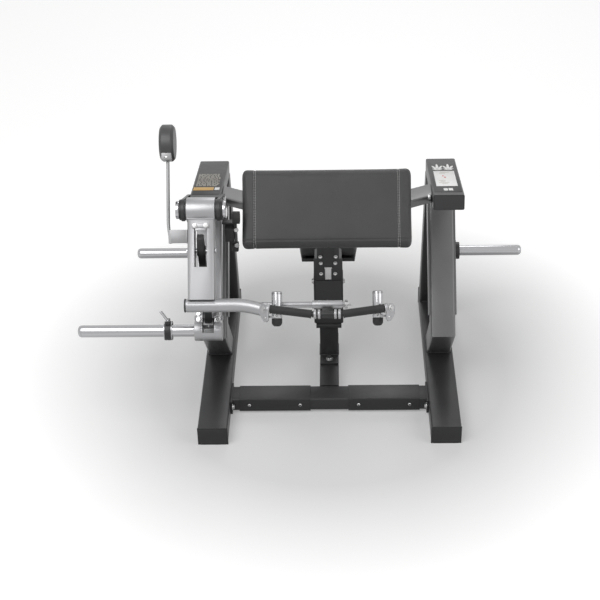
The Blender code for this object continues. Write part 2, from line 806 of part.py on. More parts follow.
def make_cross_member(frame):
    """The tube between the rails, with bolted flanges, and its two covers."""
    inner = SIDE_X - RAIL_WIDTH / 2 - GAP
    y = CROSS_FRONT_Y + CROSS_DEPTH / 2
    z = CROSS_BOTTOM_Z + CROSS_HEIGHT / 2
    span = inner - FLANGE_THICKNESS / 2
    member = tube("front_cross_member", [(-span, y, z), (span, y, z)], Y_AXIS,
                  CROSS_DEPTH, CROSS_HEIGHT, CROSS_WALL, PAINT, frame)
    extras = []
    for sign in (-1, 1):
        x = sign * (inner - FLANGE_THICKNESS / 2)
        size = (FLANGE_THICKNESS, FLANGE_DEPTH, FLANGE_HEIGHT)
        extras.append(box("flange", size, (x, y, z), PAINT, frame))
        for hand in (-1, 1):
            place = (x - sign * FLANGE_THICKNESS / 2, y + hand * (CROSS_DEPTH / 2 + FLANGE_BOLT_STEP), z)
            extras.append(bolt("flange_bolt", place, (-sign, 0, 0), frame))
    join(member, extras)
    open_bore = [box("bore", (2 * inner + CROSS_BORE, CROSS_BORE, CROSS_BORE), (0, y, z), PAINT, frame)]
    cut(member, open_bore)
    for side, sign in (("left", -1), ("right", 1)):
        ends = sorted((sign * COVER_INNER_X, sign * COVER_OUTER_X))
        wall = COVER_THICKNESS
        cover = tube(side + "_cross_cover", [(ends[0], y, z), (ends[1], y, z)], Y_AXIS,
                     CROSS_DEPTH + 2 * (wall + GAP), CROSS_HEIGHT + 2 * (wall + GAP), wall,
                     BLACK, frame)
        front = y - CROSS_DEPTH / 2 - GAP - wall
        heads = [bolt("cover_bolt", (sign * bx, front, z), (0, -1, 0), frame,
                      radius=SMALL_BOLT_RADIUS, height=COVER_BOLT_HEIGHT,
                      sunk=COVER_THICKNESS / 2) for bx in COVER_BOLT_X]
        join(cover, heads)


def make_column(frame):
    """Centre base tube, the bolted column on it and the sleeve that guides the seat post."""
    back = CROSS_FRONT_Y + CROSS_DEPTH + GAP
    tube_z = FOOT_HEIGHT + CENTRE_TUBE_HEIGHT / 2
    base = tube("centre_base_tube", [(0, back, tube_z), (0, CENTRE_TUBE_END_Y, tube_z)], X_AXIS,
                CENTRE_TUBE_WIDTH, CENTRE_TUBE_HEIGHT, COLUMN_WALL, PAINT, frame)
    foot = box("base_foot", (BASE_FOOT_WIDTH, BASE_FOOT_LENGTH, FOOT_HEIGHT + WELD_SINK),
               (0, CENTRE_TUBE_END_Y - BASE_FOOT_INSET, (FOOT_HEIGHT + WELD_SINK) / 2), RUBBER, frame)
    join(base, [foot])
    plate_bottom = FOOT_HEIGHT + CENTRE_TUBE_HEIGHT + GAP
    middle_y = COLUMN_FRONT_Y + COLUMN_DEPTH / 2
    column = tube("lower_column", [(0, middle_y, plate_bottom), (0, middle_y, COLUMN_TOP_Z)],
                  X_AXIS, COLUMN_WIDTH, COLUMN_DEPTH, COLUMN_WALL, PAINT, frame)
    plate_size = (COLUMN_WIDTH, COLUMN_DEPTH + FOOT_PLATE_FRONT, FOOT_PLATE_THICKNESS)
    plate_y = COLUMN_FRONT_Y - FOOT_PLATE_FRONT + plate_size[1] / 2
    extras = [box("foot_plate", plate_size, (0, plate_y, plate_bottom + FOOT_PLATE_THICKNESS / 2),
                  PAINT, frame, bevel=PLATE_EDGE)]
    top_size = (COLUMN_FLANGE_WIDTH, COLUMN_FLANGE_DEPTH, COLUMN_FLANGE_THICKNESS)
    extras.append(box("flange", top_size, (0, middle_y, COLUMN_TOP_Z - top_size[2] / 2),
                      PAINT, frame, bevel=PLATE_EDGE))
    plate_top = plate_bottom + FOOT_PLATE_THICKNESS
    extras.append(bolt("foot_bolt", (0, COLUMN_FRONT_Y - FOOT_BOLT_REACH, plate_top), Z_AXIS, frame,
                       radius=FOOT_BOLT_RADIUS))
    join(column, extras)
    cut(column, [box("bore", (COLUMN_BORE, COLUMN_BORE, COLUMN_TOP_Z),
                     (0, middle_y, COLUMN_TOP_Z / 2 + COLUMN_BORE_FLOOR), PAINT, frame)])
    sleeve_bottom = COLUMN_TOP_Z + GAP
    sleeve_top = sleeve_bottom + SLEEVE_HEIGHT
    sleeve = tube("seat_sleeve", [(0, middle_y, sleeve_bottom), (0, middle_y, sleeve_top)],
                  X_AXIS, SLEEVE_WIDTH, SLEEVE_DEPTH, SLEEVE_WALL, PAINT, frame)
    bolts = [bolt("sleeve_bolt", (sign * SLEEVE_WIDTH / 2, middle_y - SLEEVE_BOLT_FORWARD,
                                  sleeve_top - SLEEVE_BOLT_DROP), (sign, 0, 0), frame)
             for sign in (-1, 1)]
    join(sleeve, bolts)


def make_seat(slide):
    """The sliding post with its front bracket, the board, the pad and the release tab."""
    inner_width = SLEEVE_WIDTH - 2 * SLEEVE_WALL - 2 * POST_CLEARANCE
    inner_depth = SLEEVE_DEPTH - 2 * SLEEVE_WALL - 2 * POST_CLEARANCE
    middle_y = COLUMN_FRONT_Y + COLUMN_DEPTH / 2
    post = tube("seat_post", [(0, middle_y, POST_BOTTOM_Z), (0, middle_y, POST_TOP_Z)], X_AXIS,
                inner_width, inner_depth, SLEEVE_WALL, PAINT, slide)
    sleeve_top = COLUMN_TOP_Z + GAP + SLEEVE_HEIGHT
    bracket_bottom = sleeve_top + SEAT_BRACKET_GAP
    bracket_size = (SEAT_BRACKET_WIDTH, SEAT_BRACKET_THICKNESS, SEAT_BRACKET_HEIGHT)
    bracket_y = middle_y - inner_depth / 2 - SEAT_BRACKET_THICKNESS / 2 + WELD_SINK
    bracket_z = bracket_bottom + SEAT_BRACKET_HEIGHT / 2
    extras = [box("bracket", bracket_size, (0, bracket_y, bracket_z), PAINT, slide,
                  bevel=SEAT_BRACKET_EDGE)]
    face_y = bracket_y - SEAT_BRACKET_THICKNESS / 2
    channel_bottom = bracket_bottom + SEAT_BRACKET_HEIGHT - SEAT_BRACKET_THICKNESS
    channel_size = (HEAD_CHANNEL_WIDTH, HEAD_CHANNEL_DEPTH, HEAD_CHANNEL_HEIGHT)
    channel_y = face_y + HEAD_CHANNEL_DEPTH / 2
    extras.append(box("head_channel", channel_size,
                      (0, channel_y, channel_bottom + HEAD_CHANNEL_HEIGHT / 2), PAINT, slide,
                      bevel=HEAD_CHANNEL_EDGE))
    strip_bottom = bracket_bottom + HEAD_STRIP_BOTTOM
    strip_top = channel_bottom + HEAD_CHANNEL_HEIGHT - SEAT_BRACKET_THICKNESS
    extras.append(box("head_strip", (HEAD_STRIP_WIDTH, 2 * STRIP_THICKNESS, strip_top - strip_bottom),
                      (0, face_y, (strip_bottom + strip_top) / 2), PAINT, slide))
    for sign in (-1, 1):
        for across, rise in BRACKET_BOLTS:
            extras.append(bolt("bracket_bolt", (sign * across, face_y, bracket_bottom + rise),
                               (0, -1, 0), slide, radius=SMALL_BOLT_RADIUS, height=SMALL_BOLT_HEIGHT))
    cap_z = POST_TOP_Z - POST_LID_THICKNESS / 2
    extras.append(box("post_lid", (inner_width - SLEEVE_WALL, inner_depth - SLEEVE_WALL,
                                   POST_LID_THICKNESS), (0, middle_y, cap_z), PAINT, slide))
    rail_z = SEAT_LEVEL_Z - SEAT_RAIL_HEIGHT / 2
    rail_start = middle_y + inner_depth / 2 - SLEEVE_WALL
    extras.append(box("seat_rail", (SEAT_RAIL_WIDTH, SEAT_RAIL_LENGTH, SEAT_RAIL_HEIGHT),
                      (0, rail_start + SEAT_RAIL_LENGTH / 2, rail_z), PAINT, slide,
                      bevel=SEAT_RAIL_EDGE))
    join(post, extras)
    board_z = SEAT_LEVEL_Z + GAP + SEAT_BOARD_THICKNESS / 2
    board_y = SEAT_FRONT_Y + SEAT_LENGTH / 2
    board = box("seat_board", (1, SEAT_LENGTH - 2 * BOARD_INSET, SEAT_BOARD_THICKNESS),
                (0, board_y, board_z), BLACK, slide)
    for vertex in board.data.vertices:
        front = vertex.co.y < 0
        vertex.co.x *= (SEAT_FRONT_WIDTH if front else SEAT_REAR_WIDTH) - 2 * BOARD_INSET
    pad_z = board_z + SEAT_BOARD_THICKNESS / 2 + GAP + SEAT_THICKNESS / 2
    half = (SEAT_REAR_WIDTH / 2, SEAT_LENGTH / 2, SEAT_THICKNESS / 2)
    taper = 1 - SEAT_FRONT_WIDTH / SEAT_REAR_WIDTH
    shape = padded_shape(SEAT_REAR_WIDTH, SEAT_LENGTH, SEAT_THICKNESS, SEAT_ROLL_RADIUS, SEAT_CROWN,
                         SEAT_TUCK, (), taper)
    pad = cushion("seat_pad", [stations(h, SEAT_ROLL_RADIUS, n) for h, n in zip(half, (4, 4, 1))],
                  shape, slide)
    pad.location = (0, board_y, pad_z)
    return face_y, bracket_bottom


def stations(half, radius, inner, extra=()):
    """Grid places along one side of a cushion, closer together at its rounded ends."""
    edge = half - radius
    places = {-half, -half + radius * 0.3, -half + radius * 0.65}
    places |= {half, half - radius * 0.3, half - radius * 0.65}
    places |= {-edge + 2 * edge * i / (inner + 1) for i in range(inner + 2)}
    places |= set(extra)
    return sorted(places)


def make_release(face_y, bracket_bottom, slide):
    """The release tab in front of the seat bracket, on its own hinge knuckle."""
    hinge = (0, face_y - RELEASE_KNUCKLE - GAP, bracket_bottom + RELEASE_RISE)
    pivot = new_empty("release_pivot", hinge, slide)
    tab = box("seat_release_tab", (RELEASE_WIDTH, RELEASE_THICKNESS, RELEASE_LENGTH),
              (0, 0, RELEASE_OVERHANG - RELEASE_LENGTH / 2), CHROME, pivot, bevel=PLATE_EDGE)
    knuckle = cylinder("knuckle", RELEASE_KNUCKLE, (-RELEASE_WIDTH / 2 - RELEASE_OVERHANG, 0, 0),
                       (RELEASE_WIDTH / 2 + RELEASE_OVERHANG, 0, 0), CHROME, pivot, sides=20)
    join(tab, [knuckle])
    return pivot


def make_arm_pad(frame):
    """The crowned arm pad on its board, held by the two cross arms."""
    normal = unit(PAD_SLOPE + math.pi / 2)
    centre = Vector((0, PAD_CENTRE_Y, PAD_CENTRE_Z))
    half = (PAD_WIDTH / 2, PAD_LENGTH / 2, PAD_THICKNESS / 2)
    seams = (-PAD_SEAM_X, PAD_SEAM_X)
    shape = padded_shape(PAD_WIDTH, PAD_LENGTH, PAD_THICKNESS - PAD_CROWN, PAD_ROLL_RADIUS,
                         PAD_CROWN, PAD_TUCK, seams, end=PAD_END_RADIUS)
    around = [seam + step for seam in seams for step in (-SEAM_SPREAD, 0.0, SEAM_SPREAD)]
    low = (half[0], half[1], half[2] - PAD_CROWN / 2)
    grid = [stations(low[0], PAD_END_RADIUS, 4, around), stations(low[1], PAD_ROLL_RADIUS, 5),
            stations(low[2], PAD_ROLL_RADIUS * 0.9, 1)]
    pad = cushion("arm_pad", grid, shape, frame)
    pad.location = centre
    pad.rotation_euler = (PAD_SLOPE, 0, 0)
    drop = PAD_THICKNESS / 2 - PAD_CROWN / 2 + GAP + BOARD_THICKNESS / 2
    board_centre = centre - normal * drop
    box("pad_backboard", (BOARD_WIDTH, BOARD_LENGTH, BOARD_THICKNESS), board_centre,
        BLACK, frame, bevel=BOARD_EDGE, tilt=PAD_SLOPE)
    back = board_centre - normal * (BOARD_THICKNESS / 2 + GAP)
    for side, sign in (("left", -1), ("right", 1)):
        make_cross_arm(side, sign, back, normal, frame)


def make_cross_arm(side, sign, back, normal, frame):
    """A level arm that is bolted to the beam's side and carries the pad on an angled foot."""
    outer = Vector((sign * (SIDE_X - BEAM_WIDTH / 2 - GAP), ARM_OUTER_Y, ARM_OUTER_Z))
    inner = Vector((sign * ARM_INNER_X, arm_behind(back, normal), ARM_OUTER_Z))
    arm = tube(side + "_cross_arm", [outer, inner], flat_side(outer, inner), ARM_DEPTH,
               ARM_HEIGHT, ARM_WALL, PAINT, frame, ends=(X_AXIS, X_AXIS))
    along = (BEAM_FRONT.y - ARM_OUTER_Y) / BEAM_DIRECTION.y
    on_beam = BEAM_FRONT + BEAM_DIRECTION * along + X_AXIS * outer.x
    inward = -sign * X_AXIS
    flange = box("arm_flange", (ARM_FLANGE_THICKNESS, ARM_FLANGE_DEPTH, ARM_FLANGE_HEIGHT),
                 on_beam + inward * ARM_FLANGE_THICKNESS / 2, PAINT, frame, tilt=-BEAM_RISE)
    across = X_AXIS * sign * (ARM_INNER_X + PAD_FOOT_SHIFT)
    foot = box("pad_foot", (PAD_FOOT_WIDTH, PAD_FOOT_LENGTH, PAD_FOOT_THICKNESS),
               across + back - normal * (PAD_FOOT_THICKNESS / 2 - 2 * GAP), PAINT, frame,
               tilt=PAD_SLOPE)
    web_end = inner.y + ARM_DEPTH * PAD_WEB_REACH
    web = box("pad_web", (PAD_WEB_WIDTH, 2 * (web_end - back.y), PAD_WEB_THICKNESS),
              across + Vector((0, back.y, ARM_OUTER_Z)), PAINT, frame)
    heads = [bolt("arm_bolt", on_beam + inward * ARM_FLANGE_THICKNESS
                  + BEAM_DIRECTION * hand * ARM_BOLT_REACH, inward, frame) for hand in (-1, 1)]
    join(arm, [flange, foot, web] + heads)
    room = 3 * PAD_FOOT_LENGTH
    cut(arm, [box("pad_room", (room, room, room), across + back + normal * room / 2, PAINT, frame,
                  tilt=PAD_SLOPE)])


def arm_behind(back, normal):
    """How far back the level cross arm runs, so that its front edge clears the board."""
    rise = ARM_OUTER_Z + ARM_HEIGHT / 2 - back.z
    return back.y + ARM_DEPTH / 2 + (ARM_CLEARANCE + rise * normal.z) / -normal.y


def flat_side(outer, inner):
    """The level direction across a cross arm."""
    run = (inner - outer).normalized()
    return run.cross(Z_AXIS).normalized()


def make_storage_horn(side, sign, frame):
    face_x = sign * (SIDE_X + RAIL_WIDTH / 2 + GAP)
    plate_x = face_x + sign * STORAGE_PLATE_THICKNESS
    base = box(side + "_storage_flange",
               (STORAGE_PLATE_THICKNESS, STORAGE_PLATE_WIDTH, STORAGE_PLATE_HEIGHT),
               (face_x + sign * STORAGE_PLATE_THICKNESS / 2, STORAGE_Y, STORAGE_Z), BLACK, frame,
               bevel=STORAGE_PLATE_EDGE)
    disc_end = plate_x + sign * (STORAGE_FLANGE_THICKNESS - STORAGE_PLATE_THICKNESS)
    disc = cylinder("disc", STORAGE_FLANGE_RADIUS, (plate_x - sign * WELD_SINK, STORAGE_Y, STORAGE_Z),
                    (disc_end, STORAGE_Y, STORAGE_Z), BLACK, frame)
    bolts = [bolt("flange_bolt", (plate_x, STORAGE_Y, STORAGE_Z + hand * STORAGE_BOLT_RISE),
                  (sign, 0, 0), frame, radius=STORAGE_BOLT_RADIUS) for hand in (-1, 1)]
    join(base, [disc] + bolts)
    horn = horn_solid(side + "_storage_horn", STORAGE_RADIUS, STORAGE_LENGTH, sign, frame)
    horn.location = (disc_end + sign * GAP, STORAGE_Y, STORAGE_Z)


def horn_solid(name, radius, length, sign, parent, spigot=0.0):
    """A round horn that starts at its own origin and ends in a rounded tip."""
    round_length = radius * HORN_TIP_SHARE
    profile = [(0, 0), (0, radius)]
    for across, rise in arc((0, 0), 1.0, math.pi / 2, 0, 8):
        profile.append((length - round_length + across * round_length, rise * radius))
    profile[-1] = (profile[-1][0], 0)
    if spigot:
        profile[0:2] = [(-spigot, 0), (-spigot, radius * SPIGOT_SHARE),
                        (0, radius * SPIGOT_SHARE), (0, radius)]
    return turned(name, [(sign * x, r) for x, r in profile], CHROME, parent)


def make_pivot(frame):
    """Fork cheeks on the left beam, the elbow shaft and its retainers."""
    centre_x = -SIDE_X
    for side, sign in (("outer", -1), ("inner", 1)):
        inner_x = centre_x + sign * (BEAM_WIDTH / 2 + GAP)
        middle_x = inner_x + sign * CHEEK_THICKNESS / 2
        low = BEAM_FRONT_TOP - BEAM_UP * (BEAM_HEIGHT + CHEEK_DROP)
        start = math.atan2(low.z - PIVOT.z, low.y - PIVOT.y) - math.pi / 2
        outline = arc((PIVOT.y, PIVOT.z), CHEEK_RADIUS, math.pi / 2 - BEAM_RISE * 0.5,
                      start + math.tau, 16)
        outline.append((low.y, low.z))
        end = low - BEAM_DIRECTION * CHEEK_FOOT
        outline.append((end.y, end.z))
        top = end + BEAM_UP * (BEAM_HEIGHT + CHEEK_RISE)
        outline.append((top.y, top.z))
        cheek = plate(side + "_fork_cheek", outline, CHEEK_THICKNESS, middle_x, PAINT, frame)
        shoulder = centre_x + sign * (HUB_WIDTH / 2 + RUNNING_CLEARANCE)
        boss_end = inner_x + sign * BOSS_THICKNESS
        boss = cylinder("boss", BOSS_RADIUS, (shoulder, PIVOT.y, PIVOT.z),
                        (boss_end, PIVOT.y, PIVOT.z), PAINT, frame, sides=32)
        heads = []
        for along, drop in CHEEK_BOLTS:
            spot = BEAM_FRONT_TOP - BEAM_DIRECTION * along - BEAM_UP * drop
            face_x = inner_x + sign * CHEEK_THICKNESS
            heads.append(bolt("cheek_bolt", (face_x, spot.y, spot.z), (sign, 0, 0), frame))
        join(cheek, [boss] + heads)
        bore = cylinder("bore", SHAFT_RADIUS + GAP, (shoulder - sign * HUB_WIDTH / 2, PIVOT.y, PIVOT.z),
                        (boss_end + sign * HUB_WIDTH / 2, PIVOT.y, PIVOT.z), PAINT, frame, sides=32)
        cut(cheek, [bore])
    reach = BEAM_WIDTH / 2 + GAP + BOSS_THICKNESS + GAP
    far = -reach - RETAINER_THICKNESS
    profile = [(far, 0), (far, RETAINER_RADIUS - RETAINER_EDGE),
               (far + RETAINER_EDGE_LENGTH, RETAINER_RADIUS), (-reach, RETAINER_RADIUS),
               (-reach, SHAFT_RADIUS)]
    mirrored = [(-x, r) for x, r in reversed(profile)]
    shaft = turned("elbow_pivot_shaft", profile + mirrored, CHROME, frame)
    shaft.location = PIVOT + X_AXIS * centre_x


def make_weight_hanger(frame):
    """Two plates under the left beam and the pin that the weight arm turns on."""
    drop = (BEAM_UNDER - ARM_PIVOT).dot(BEAM_UP)
    foot = ARM_PIVOT + BEAM_UP * drop
    gap_half = LEVER_WIDTH / 2 + RUNNING_CLEARANCE
    pieces = []
    for sign in (-1, 1):
        middle_x = -SIDE_X + sign * (gap_half + HANGER_THICKNESS / 2)
        left = foot + BEAM_DIRECTION * HANGER_HALF_LENGTH
        right = foot - BEAM_DIRECTION * HANGER_HALF_LENGTH
        bottom = arc((ARM_PIVOT.y, ARM_PIVOT.z), HANGER_NOSE_RADIUS, math.pi, math.tau, 14)
        outline = [(left.y, left.z)] + bottom + [(right.y, right.z)]
        pieces.append(plate("weight_arm_hanger", outline, HANGER_THICKNESS, middle_x, PAINT, frame))
    hanger = pieces[0]
    tie_size = (2 * (gap_half + HANGER_THICKNESS), 2 * HANGER_HALF_LENGTH, HANGER_THICKNESS)
    tie = box("tie", tie_size, foot - BEAM_UP * tie_size[2] / 2 - X_AXIS * SIDE_X, PAINT, frame,
              tilt=-BEAM_RISE)
    join(hanger, [pieces[1], tie])
    bore = cylinder("bore", WEIGHT_PIVOT_RADIUS + GAP, ARM_PIVOT - X_AXIS * (SIDE_X + LEVER_WIDTH),
                    ARM_PIVOT - X_AXIS * (SIDE_X - LEVER_WIDTH), PAINT, frame)
    cut(hanger, [bore])
    reach = gap_half + HANGER_THICKNESS + GAP
    far = -reach - PIN_HEAD_THICKNESS
    head = [(far, 0), (far, PIN_HEAD_RADIUS), (-reach, PIN_HEAD_RADIUS), (-reach, WEIGHT_PIVOT_RADIUS)]
    pin = turned("weight_arm_pin", head + [(-x, r) for x, r in reversed(head)], CHROME, frame)
    pin.location = ARM_PIVOT - X_AXIS * SIDE_X


def lever_point(x, forward, down):
    """A place in the lever's frame."""
    return Vector((x, -forward, -down))


def make_lever(lever):
    """Hub and slotted tube, cross bar, rod pin, stop block and counterweight."""
    x = -SIDE_X
    arm = tube("lever_arm", [lever_point(x, 0, LEVER_START), lever_point(x, 0, LEVER_END)],
               X_AXIS, LEVER_WIDTH, LEVER_DEPTH, LEVER_WALL, SILVER, lever)
    hub = cylinder("hub", HUB_RADIUS, (x - HUB_WIDTH / 2, 0, 0), (x + HUB_WIDTH / 2, 0, 0),
                   SILVER, lever, sides=48)
    join(arm, [hub])
    slot_middle = (SLOT_START + SLOT_END) / 2
    reach = max(LEVER_WIDTH, HUB_WIDTH)
    cutters = [
        box("slot", (SLOT_WIDTH, 2 * LEVER_DEPTH, SLOT_END - SLOT_START), lever_point(x, 0, slot_middle),
            SILVER, lever),
        cylinder("bore", SHAFT_RADIUS + GAP, (x - reach, 0, 0), (x + reach, 0, 0), SILVER, lever),
        cylinder("cope", BAR_RADIUS + GAP, lever_point(x - reach, 0, BAR_DROP),
                 lever_point(x + reach, 0, BAR_DROP), SILVER, lever),
        cylinder("pin_bore", ROD_PIN_RADIUS + GAP, lever_point(x - reach, 0, ROD_PIN_DROP),
                 lever_point(x + reach, 0, ROD_PIN_DROP), SILVER, lever, sides=24)]
    cut(arm, cutters)
    make_bar(lever)
    half = LEVER_WIDTH / 2 + GAP
    far = -half - ROD_PIN_HEAD_THICKNESS
    head = [(far, 0), (far, ROD_PIN_HEAD_RADIUS), (-half, ROD_PIN_HEAD_RADIUS), (-half, ROD_PIN_RADIUS)]
    pin = turned("rod_pin", head + [(-px, r) for px, r in reversed(head)], CHROME, lever, sides=24)
    pin.location = lever_point(x, 0, ROD_PIN_DROP)
    front = LEVER_DEPTH / 2 + GAP
    clamp_drop = SLOT_START + CLAMP_HEIGHT / 2
    block = box("slot_clamp", (SLOT_WIDTH + 2 * CLAMP_MARGIN, CLAMP_THICKNESS, CLAMP_HEIGHT),
                lever_point(x, front + CLAMP_THICKNESS / 2, clamp_drop), SILVER, lever,
                bevel=CLAMP_EDGE)
    heads = [bolt("clamp_bolt",
                  lever_point(x + hand * CLAMP_BOLT_X, front + CLAMP_THICKNESS, clamp_drop),
                  (0, -1, 0), lever, radius=SMALL_BOLT_RADIUS, height=SMALL_BOLT_HEIGHT)
             for hand in (-1, 1)]
    join(block, heads)
    make_counterweight(lever)


def make_bar(lever):
    """The cross bar welded under the lever, bent at its right, its end cap, shaft and nut."""
    length = BAR_RIGHT_X - BAR_LEFT_X
    bend = BAR_BEND_X - BAR_LEFT_X
    step = (length - BAR_CHAMFER - bend) / BAR_BEND_STEPS
    profile = [(0, 0), (0, BAR_RADIUS)]
    profile += [(bend + step * i, BAR_RADIUS) for i in range(BAR_BEND_STEPS + 1)]
    profile += [(length, BAR_RADIUS - BAR_CHAMFER), (length, 0)]
    bar = turned("lever_bar", profile, SILVER, lever)
    for vertex in bar.data.vertices:
        share = max(0.0, (vertex.co.x - bend) / (length - bend))
        vertex.co += lever_point(0, BAR_BEND_FORWARD, BAR_BEND_DROP) * share ** 2
    bar.location = lever_point(BAR_LEFT_X, 0, BAR_DROP)
    shaft = cylinder("shaft", BAR_SHAFT_RADIUS, lever_point(BAR_BEND_X, 0, BAR_DROP),
                     lever_point(BAR_SHAFT_END_X, 0, BAR_DROP), SILVER, lever)
    join(bar, [shaft])
    rim = BAR_RADIUS + PLUG_OVERHANG
    cap_profile = [(0, 0), (0, rim), (PLUG_EDGE - PLUG_THICKNESS, rim),
                   (-PLUG_THICKNESS, BAR_RADIUS - PLUG_EDGE), (-PLUG_THICKNESS, 0)]
    cap = turned("bar_end_cap", cap_profile, BLACK, lever)
    cap.location = lever_point(BAR_LEFT_X - GAP, 0, BAR_DROP)
    nut_end = NUT_THICKNESS + NUT_STUD_LENGTH
    nut_profile = [(0, 0), (0, NUT_RADIUS), (NUT_THICKNESS, NUT_RADIUS),
                   (NUT_THICKNESS, NUT_STUD_RADIUS), (nut_end, NUT_STUD_RADIUS), (nut_end, 0)]
    nut = turned("bar_end_nut", nut_profile, CHROME, lever, sides=6)
    nut.location = lever_point(BAR_SHAFT_END_X + GAP, 0, BAR_DROP)


def make_counterweight(lever):
    """A bent flat bar on a bracket at the lever's outer side, with a round weight."""
    side_x = -SIDE_X - LEVER_WIDTH / 2 - GAP
    half = WEIGHT_BAR_WIDTH / 2
    top = -COUNTER_RISE + WEIGHT_BAR_SHORT
    low = -BRACKET_DROP - BRACKET_HEIGHT / 2
    outline = [(-half, -top), (half, -top), (half, low), (-half, low)]
    bar = plate("counterweight_bar", outline, WEIGHT_BAR_THICKNESS, WEIGHT_BAR_X, SILVER, lever)
    reach = side_x - (WEIGHT_BAR_X - WEIGHT_BAR_THICKNESS / 2)
    bracket = box("bracket", (reach, WEIGHT_BAR_THICKNESS, BRACKET_HEIGHT),
                  lever_point(side_x - reach / 2, half - WEIGHT_BAR_THICKNESS / 2, BRACKET_DROP),
                  SILVER, lever)
    foot = box("bracket_foot", (BRACKET_FOOT_THICKNESS, BRACKET_FOOT_WIDTH, BRACKET_HEIGHT),
               lever_point(side_x - BRACKET_FOOT_THICKNESS / 2, BRACKET_FOOT_FORWARD, BRACKET_DROP),
               SILVER, lever)
    join(bar, [bracket, foot])
    radius = COUNTER_RADIUS
    thick = COUNTER_THICKNESS / 2
    slot_top = -COUNTER_RISE
    rim = thick - COUNTER_EDGE
    profile = [(-thick, 0), (-thick, radius - COUNTER_EDGE), (-rim, radius), (rim, radius),
               (thick, radius - COUNTER_EDGE), (thick, 0)]
    disc = turned("counterweight_disc", profile, CAST, lever, sides=40)
    disc.location = lever_point(WEIGHT_BAR_X, 0, slot_top)
    notch = box("notch", (WEIGHT_BAR_THICKNESS + 2 * GAP, WEIGHT_BAR_WIDTH + 2 * GAP,
                          3 * COUNTER_RADIUS),
                lever_point(WEIGHT_BAR_X, 0, top + 1.5 * COUNTER_RADIUS - GAP), CAST, lever)
    cut(disc, [notch])


def make_grips(yoke):
    """Sleeve, hanger block and bowed core; rubber grips; end handles with caps."""
    sleeve_inner = BAR_SHAFT_RADIUS + GAP
    sleeve = cylinder("grip_yoke", YOKE_SLEEVE_RADIUS, (-YOKE_SLEEVE_HALF, 0, 0),
                      (YOKE_SLEEVE_HALF, 0, 0), SILVER, yoke)
    inner = lever_point(0, GRIP_FORWARD, GRIP_INNER_DROP)
    block = box("hanger", (HANGER_WIDTH, GRIP_FORWARD + HANGER_OVERHANG, HANGER_DEPTH),
                lever_point(0, GRIP_FORWARD / 2 + HANGER_SHIFT, GRIP_INNER_DROP * HANGER_DROP_SHARE),
                BLACK, yoke,
                tilt=math.atan2(GRIP_INNER_DROP - HANGER_FALL, GRIP_FORWARD))
    pieces = [block]
    for sign in (-1, 1):
        bend = inner + X_AXIS * sign * GRIP_INNER_X
        slope = (GRIP_OUTER_DROP - GRIP_INNER_DROP) / (GRIP_OUTER_X - GRIP_INNER_X)
        end = bend + lever_point(sign, 0, slope) * (YOKE_END_X - GRIP_INNER_X)
        overlap = X_AXIS * sign * BEND_OVERLAP
        pieces.append(cylinder("core", GRIP_CORE_RADIUS + RING_SINK, inner - overlap, bend,
                               BLACK, yoke, sides=20))
        pieces.append(cylinder("core", GRIP_CORE_RADIUS, bend - overlap / 2, end,
                               BLACK, yoke, sides=20))
        for place in RING_PLACES:
            ring_start = inner + X_AXIS * sign * (place - RING_WIDTH / 2)
            pieces.append(cylinder("ring", RING_RADIUS, ring_start,
                                   ring_start + X_AXIS * sign * RING_WIDTH, SILVER, yoke, sides=20))
        make_end(sign, bend, slope, pieces, yoke)
    join(sleeve, pieces)
    bore_reach = 2 * YOKE_SLEEVE_HALF
    cut(sleeve, [cylinder("bore", sleeve_inner, (-bore_reach, 0, 0), (bore_reach, 0, 0), SILVER, yoke)])


def make_end(sign, bend, slope, pieces, yoke):
    """One half of the yoke: grip, collar, gusset and the handle post with its cap."""
    side = "left" if sign < 0 else "right"
    run = lever_point(sign, 0, slope).normalized()
    start = bend + run * BEND_OVERLAP
    end = bend + run * ((GRIP_OUTER_X - GRIP_INNER_X) / abs(run.x) - RUNNING_CLEARANCE)
    grip = cylinder(side + "_grip", GRIP_RADIUS, start, end, RUBBER, yoke)
    cut(grip, [cylinder("bore", GRIP_CORE_RADIUS + GAP, start - run * GRIP_BORE_REACH,
                        end + run * GRIP_BORE_REACH,
                        RUBBER, yoke, sides=24)])
    collar_start = end + run * RUNNING_CLEARANCE
    pieces.append(cylinder("collar", END_COLLAR_RADIUS, collar_start,
                           collar_start + run * END_COLLAR_WIDTH, SILVER, yoke, sides=24))
    plate_x = collar_start.x + sign * END_PLATE_STEP
    z = collar_start.z
    y = -GRIP_FORWARD
    outline = [(y + across, z + rise) for across, rise in END_PLATE_OUTLINE]
    pieces.append(plate("gusset", outline, END_PLATE_THICKNESS, plate_x, SILVER, yoke))
    post_y = -GRIP_FORWARD + GRIP_RADIUS + HANDLE_POST_RADIUS + HANDLE_POST_GAP
    post_x = sign * POST_X
    top = Vector((post_x, post_y, HANDLE_POST_RISE))
    low = Vector((post_x, post_y, -HANDLE_POST_DROP))
    post = cylinder(side + "_handle_post", HANDLE_POST_RADIUS, low, top, CHROME, yoke)
    tie_end = plate_x - sign * (END_PLATE_THICKNESS / 2 + GAP)
    tie_x = (post_x + tie_end) / 2
    tie = box("tie", (abs(tie_end - post_x), TIE_DEPTH, TIE_HEIGHT),
              (tie_x, post_y - TIE_DEPTH / 2, z - TIE_DROP), SILVER, yoke)
    join(post, [tie])
    cap_profile = [(0, 0), (0, HANDLE_POST_RADIUS), (HANDLE_CAP_STRAIGHT, HANDLE_POST_RADIUS),
                   (HANDLE_CAP_LENGTH, HANDLE_CAP_END_RADIUS), (HANDLE_CAP_LENGTH, 0)]
    cap = turned(side + "_post_cap", cap_profile, RUBBER, yoke)
    cap.rotation_euler = (0, math.pi / 2, 0)
    cap.location = low - Z_AXIS * GAP


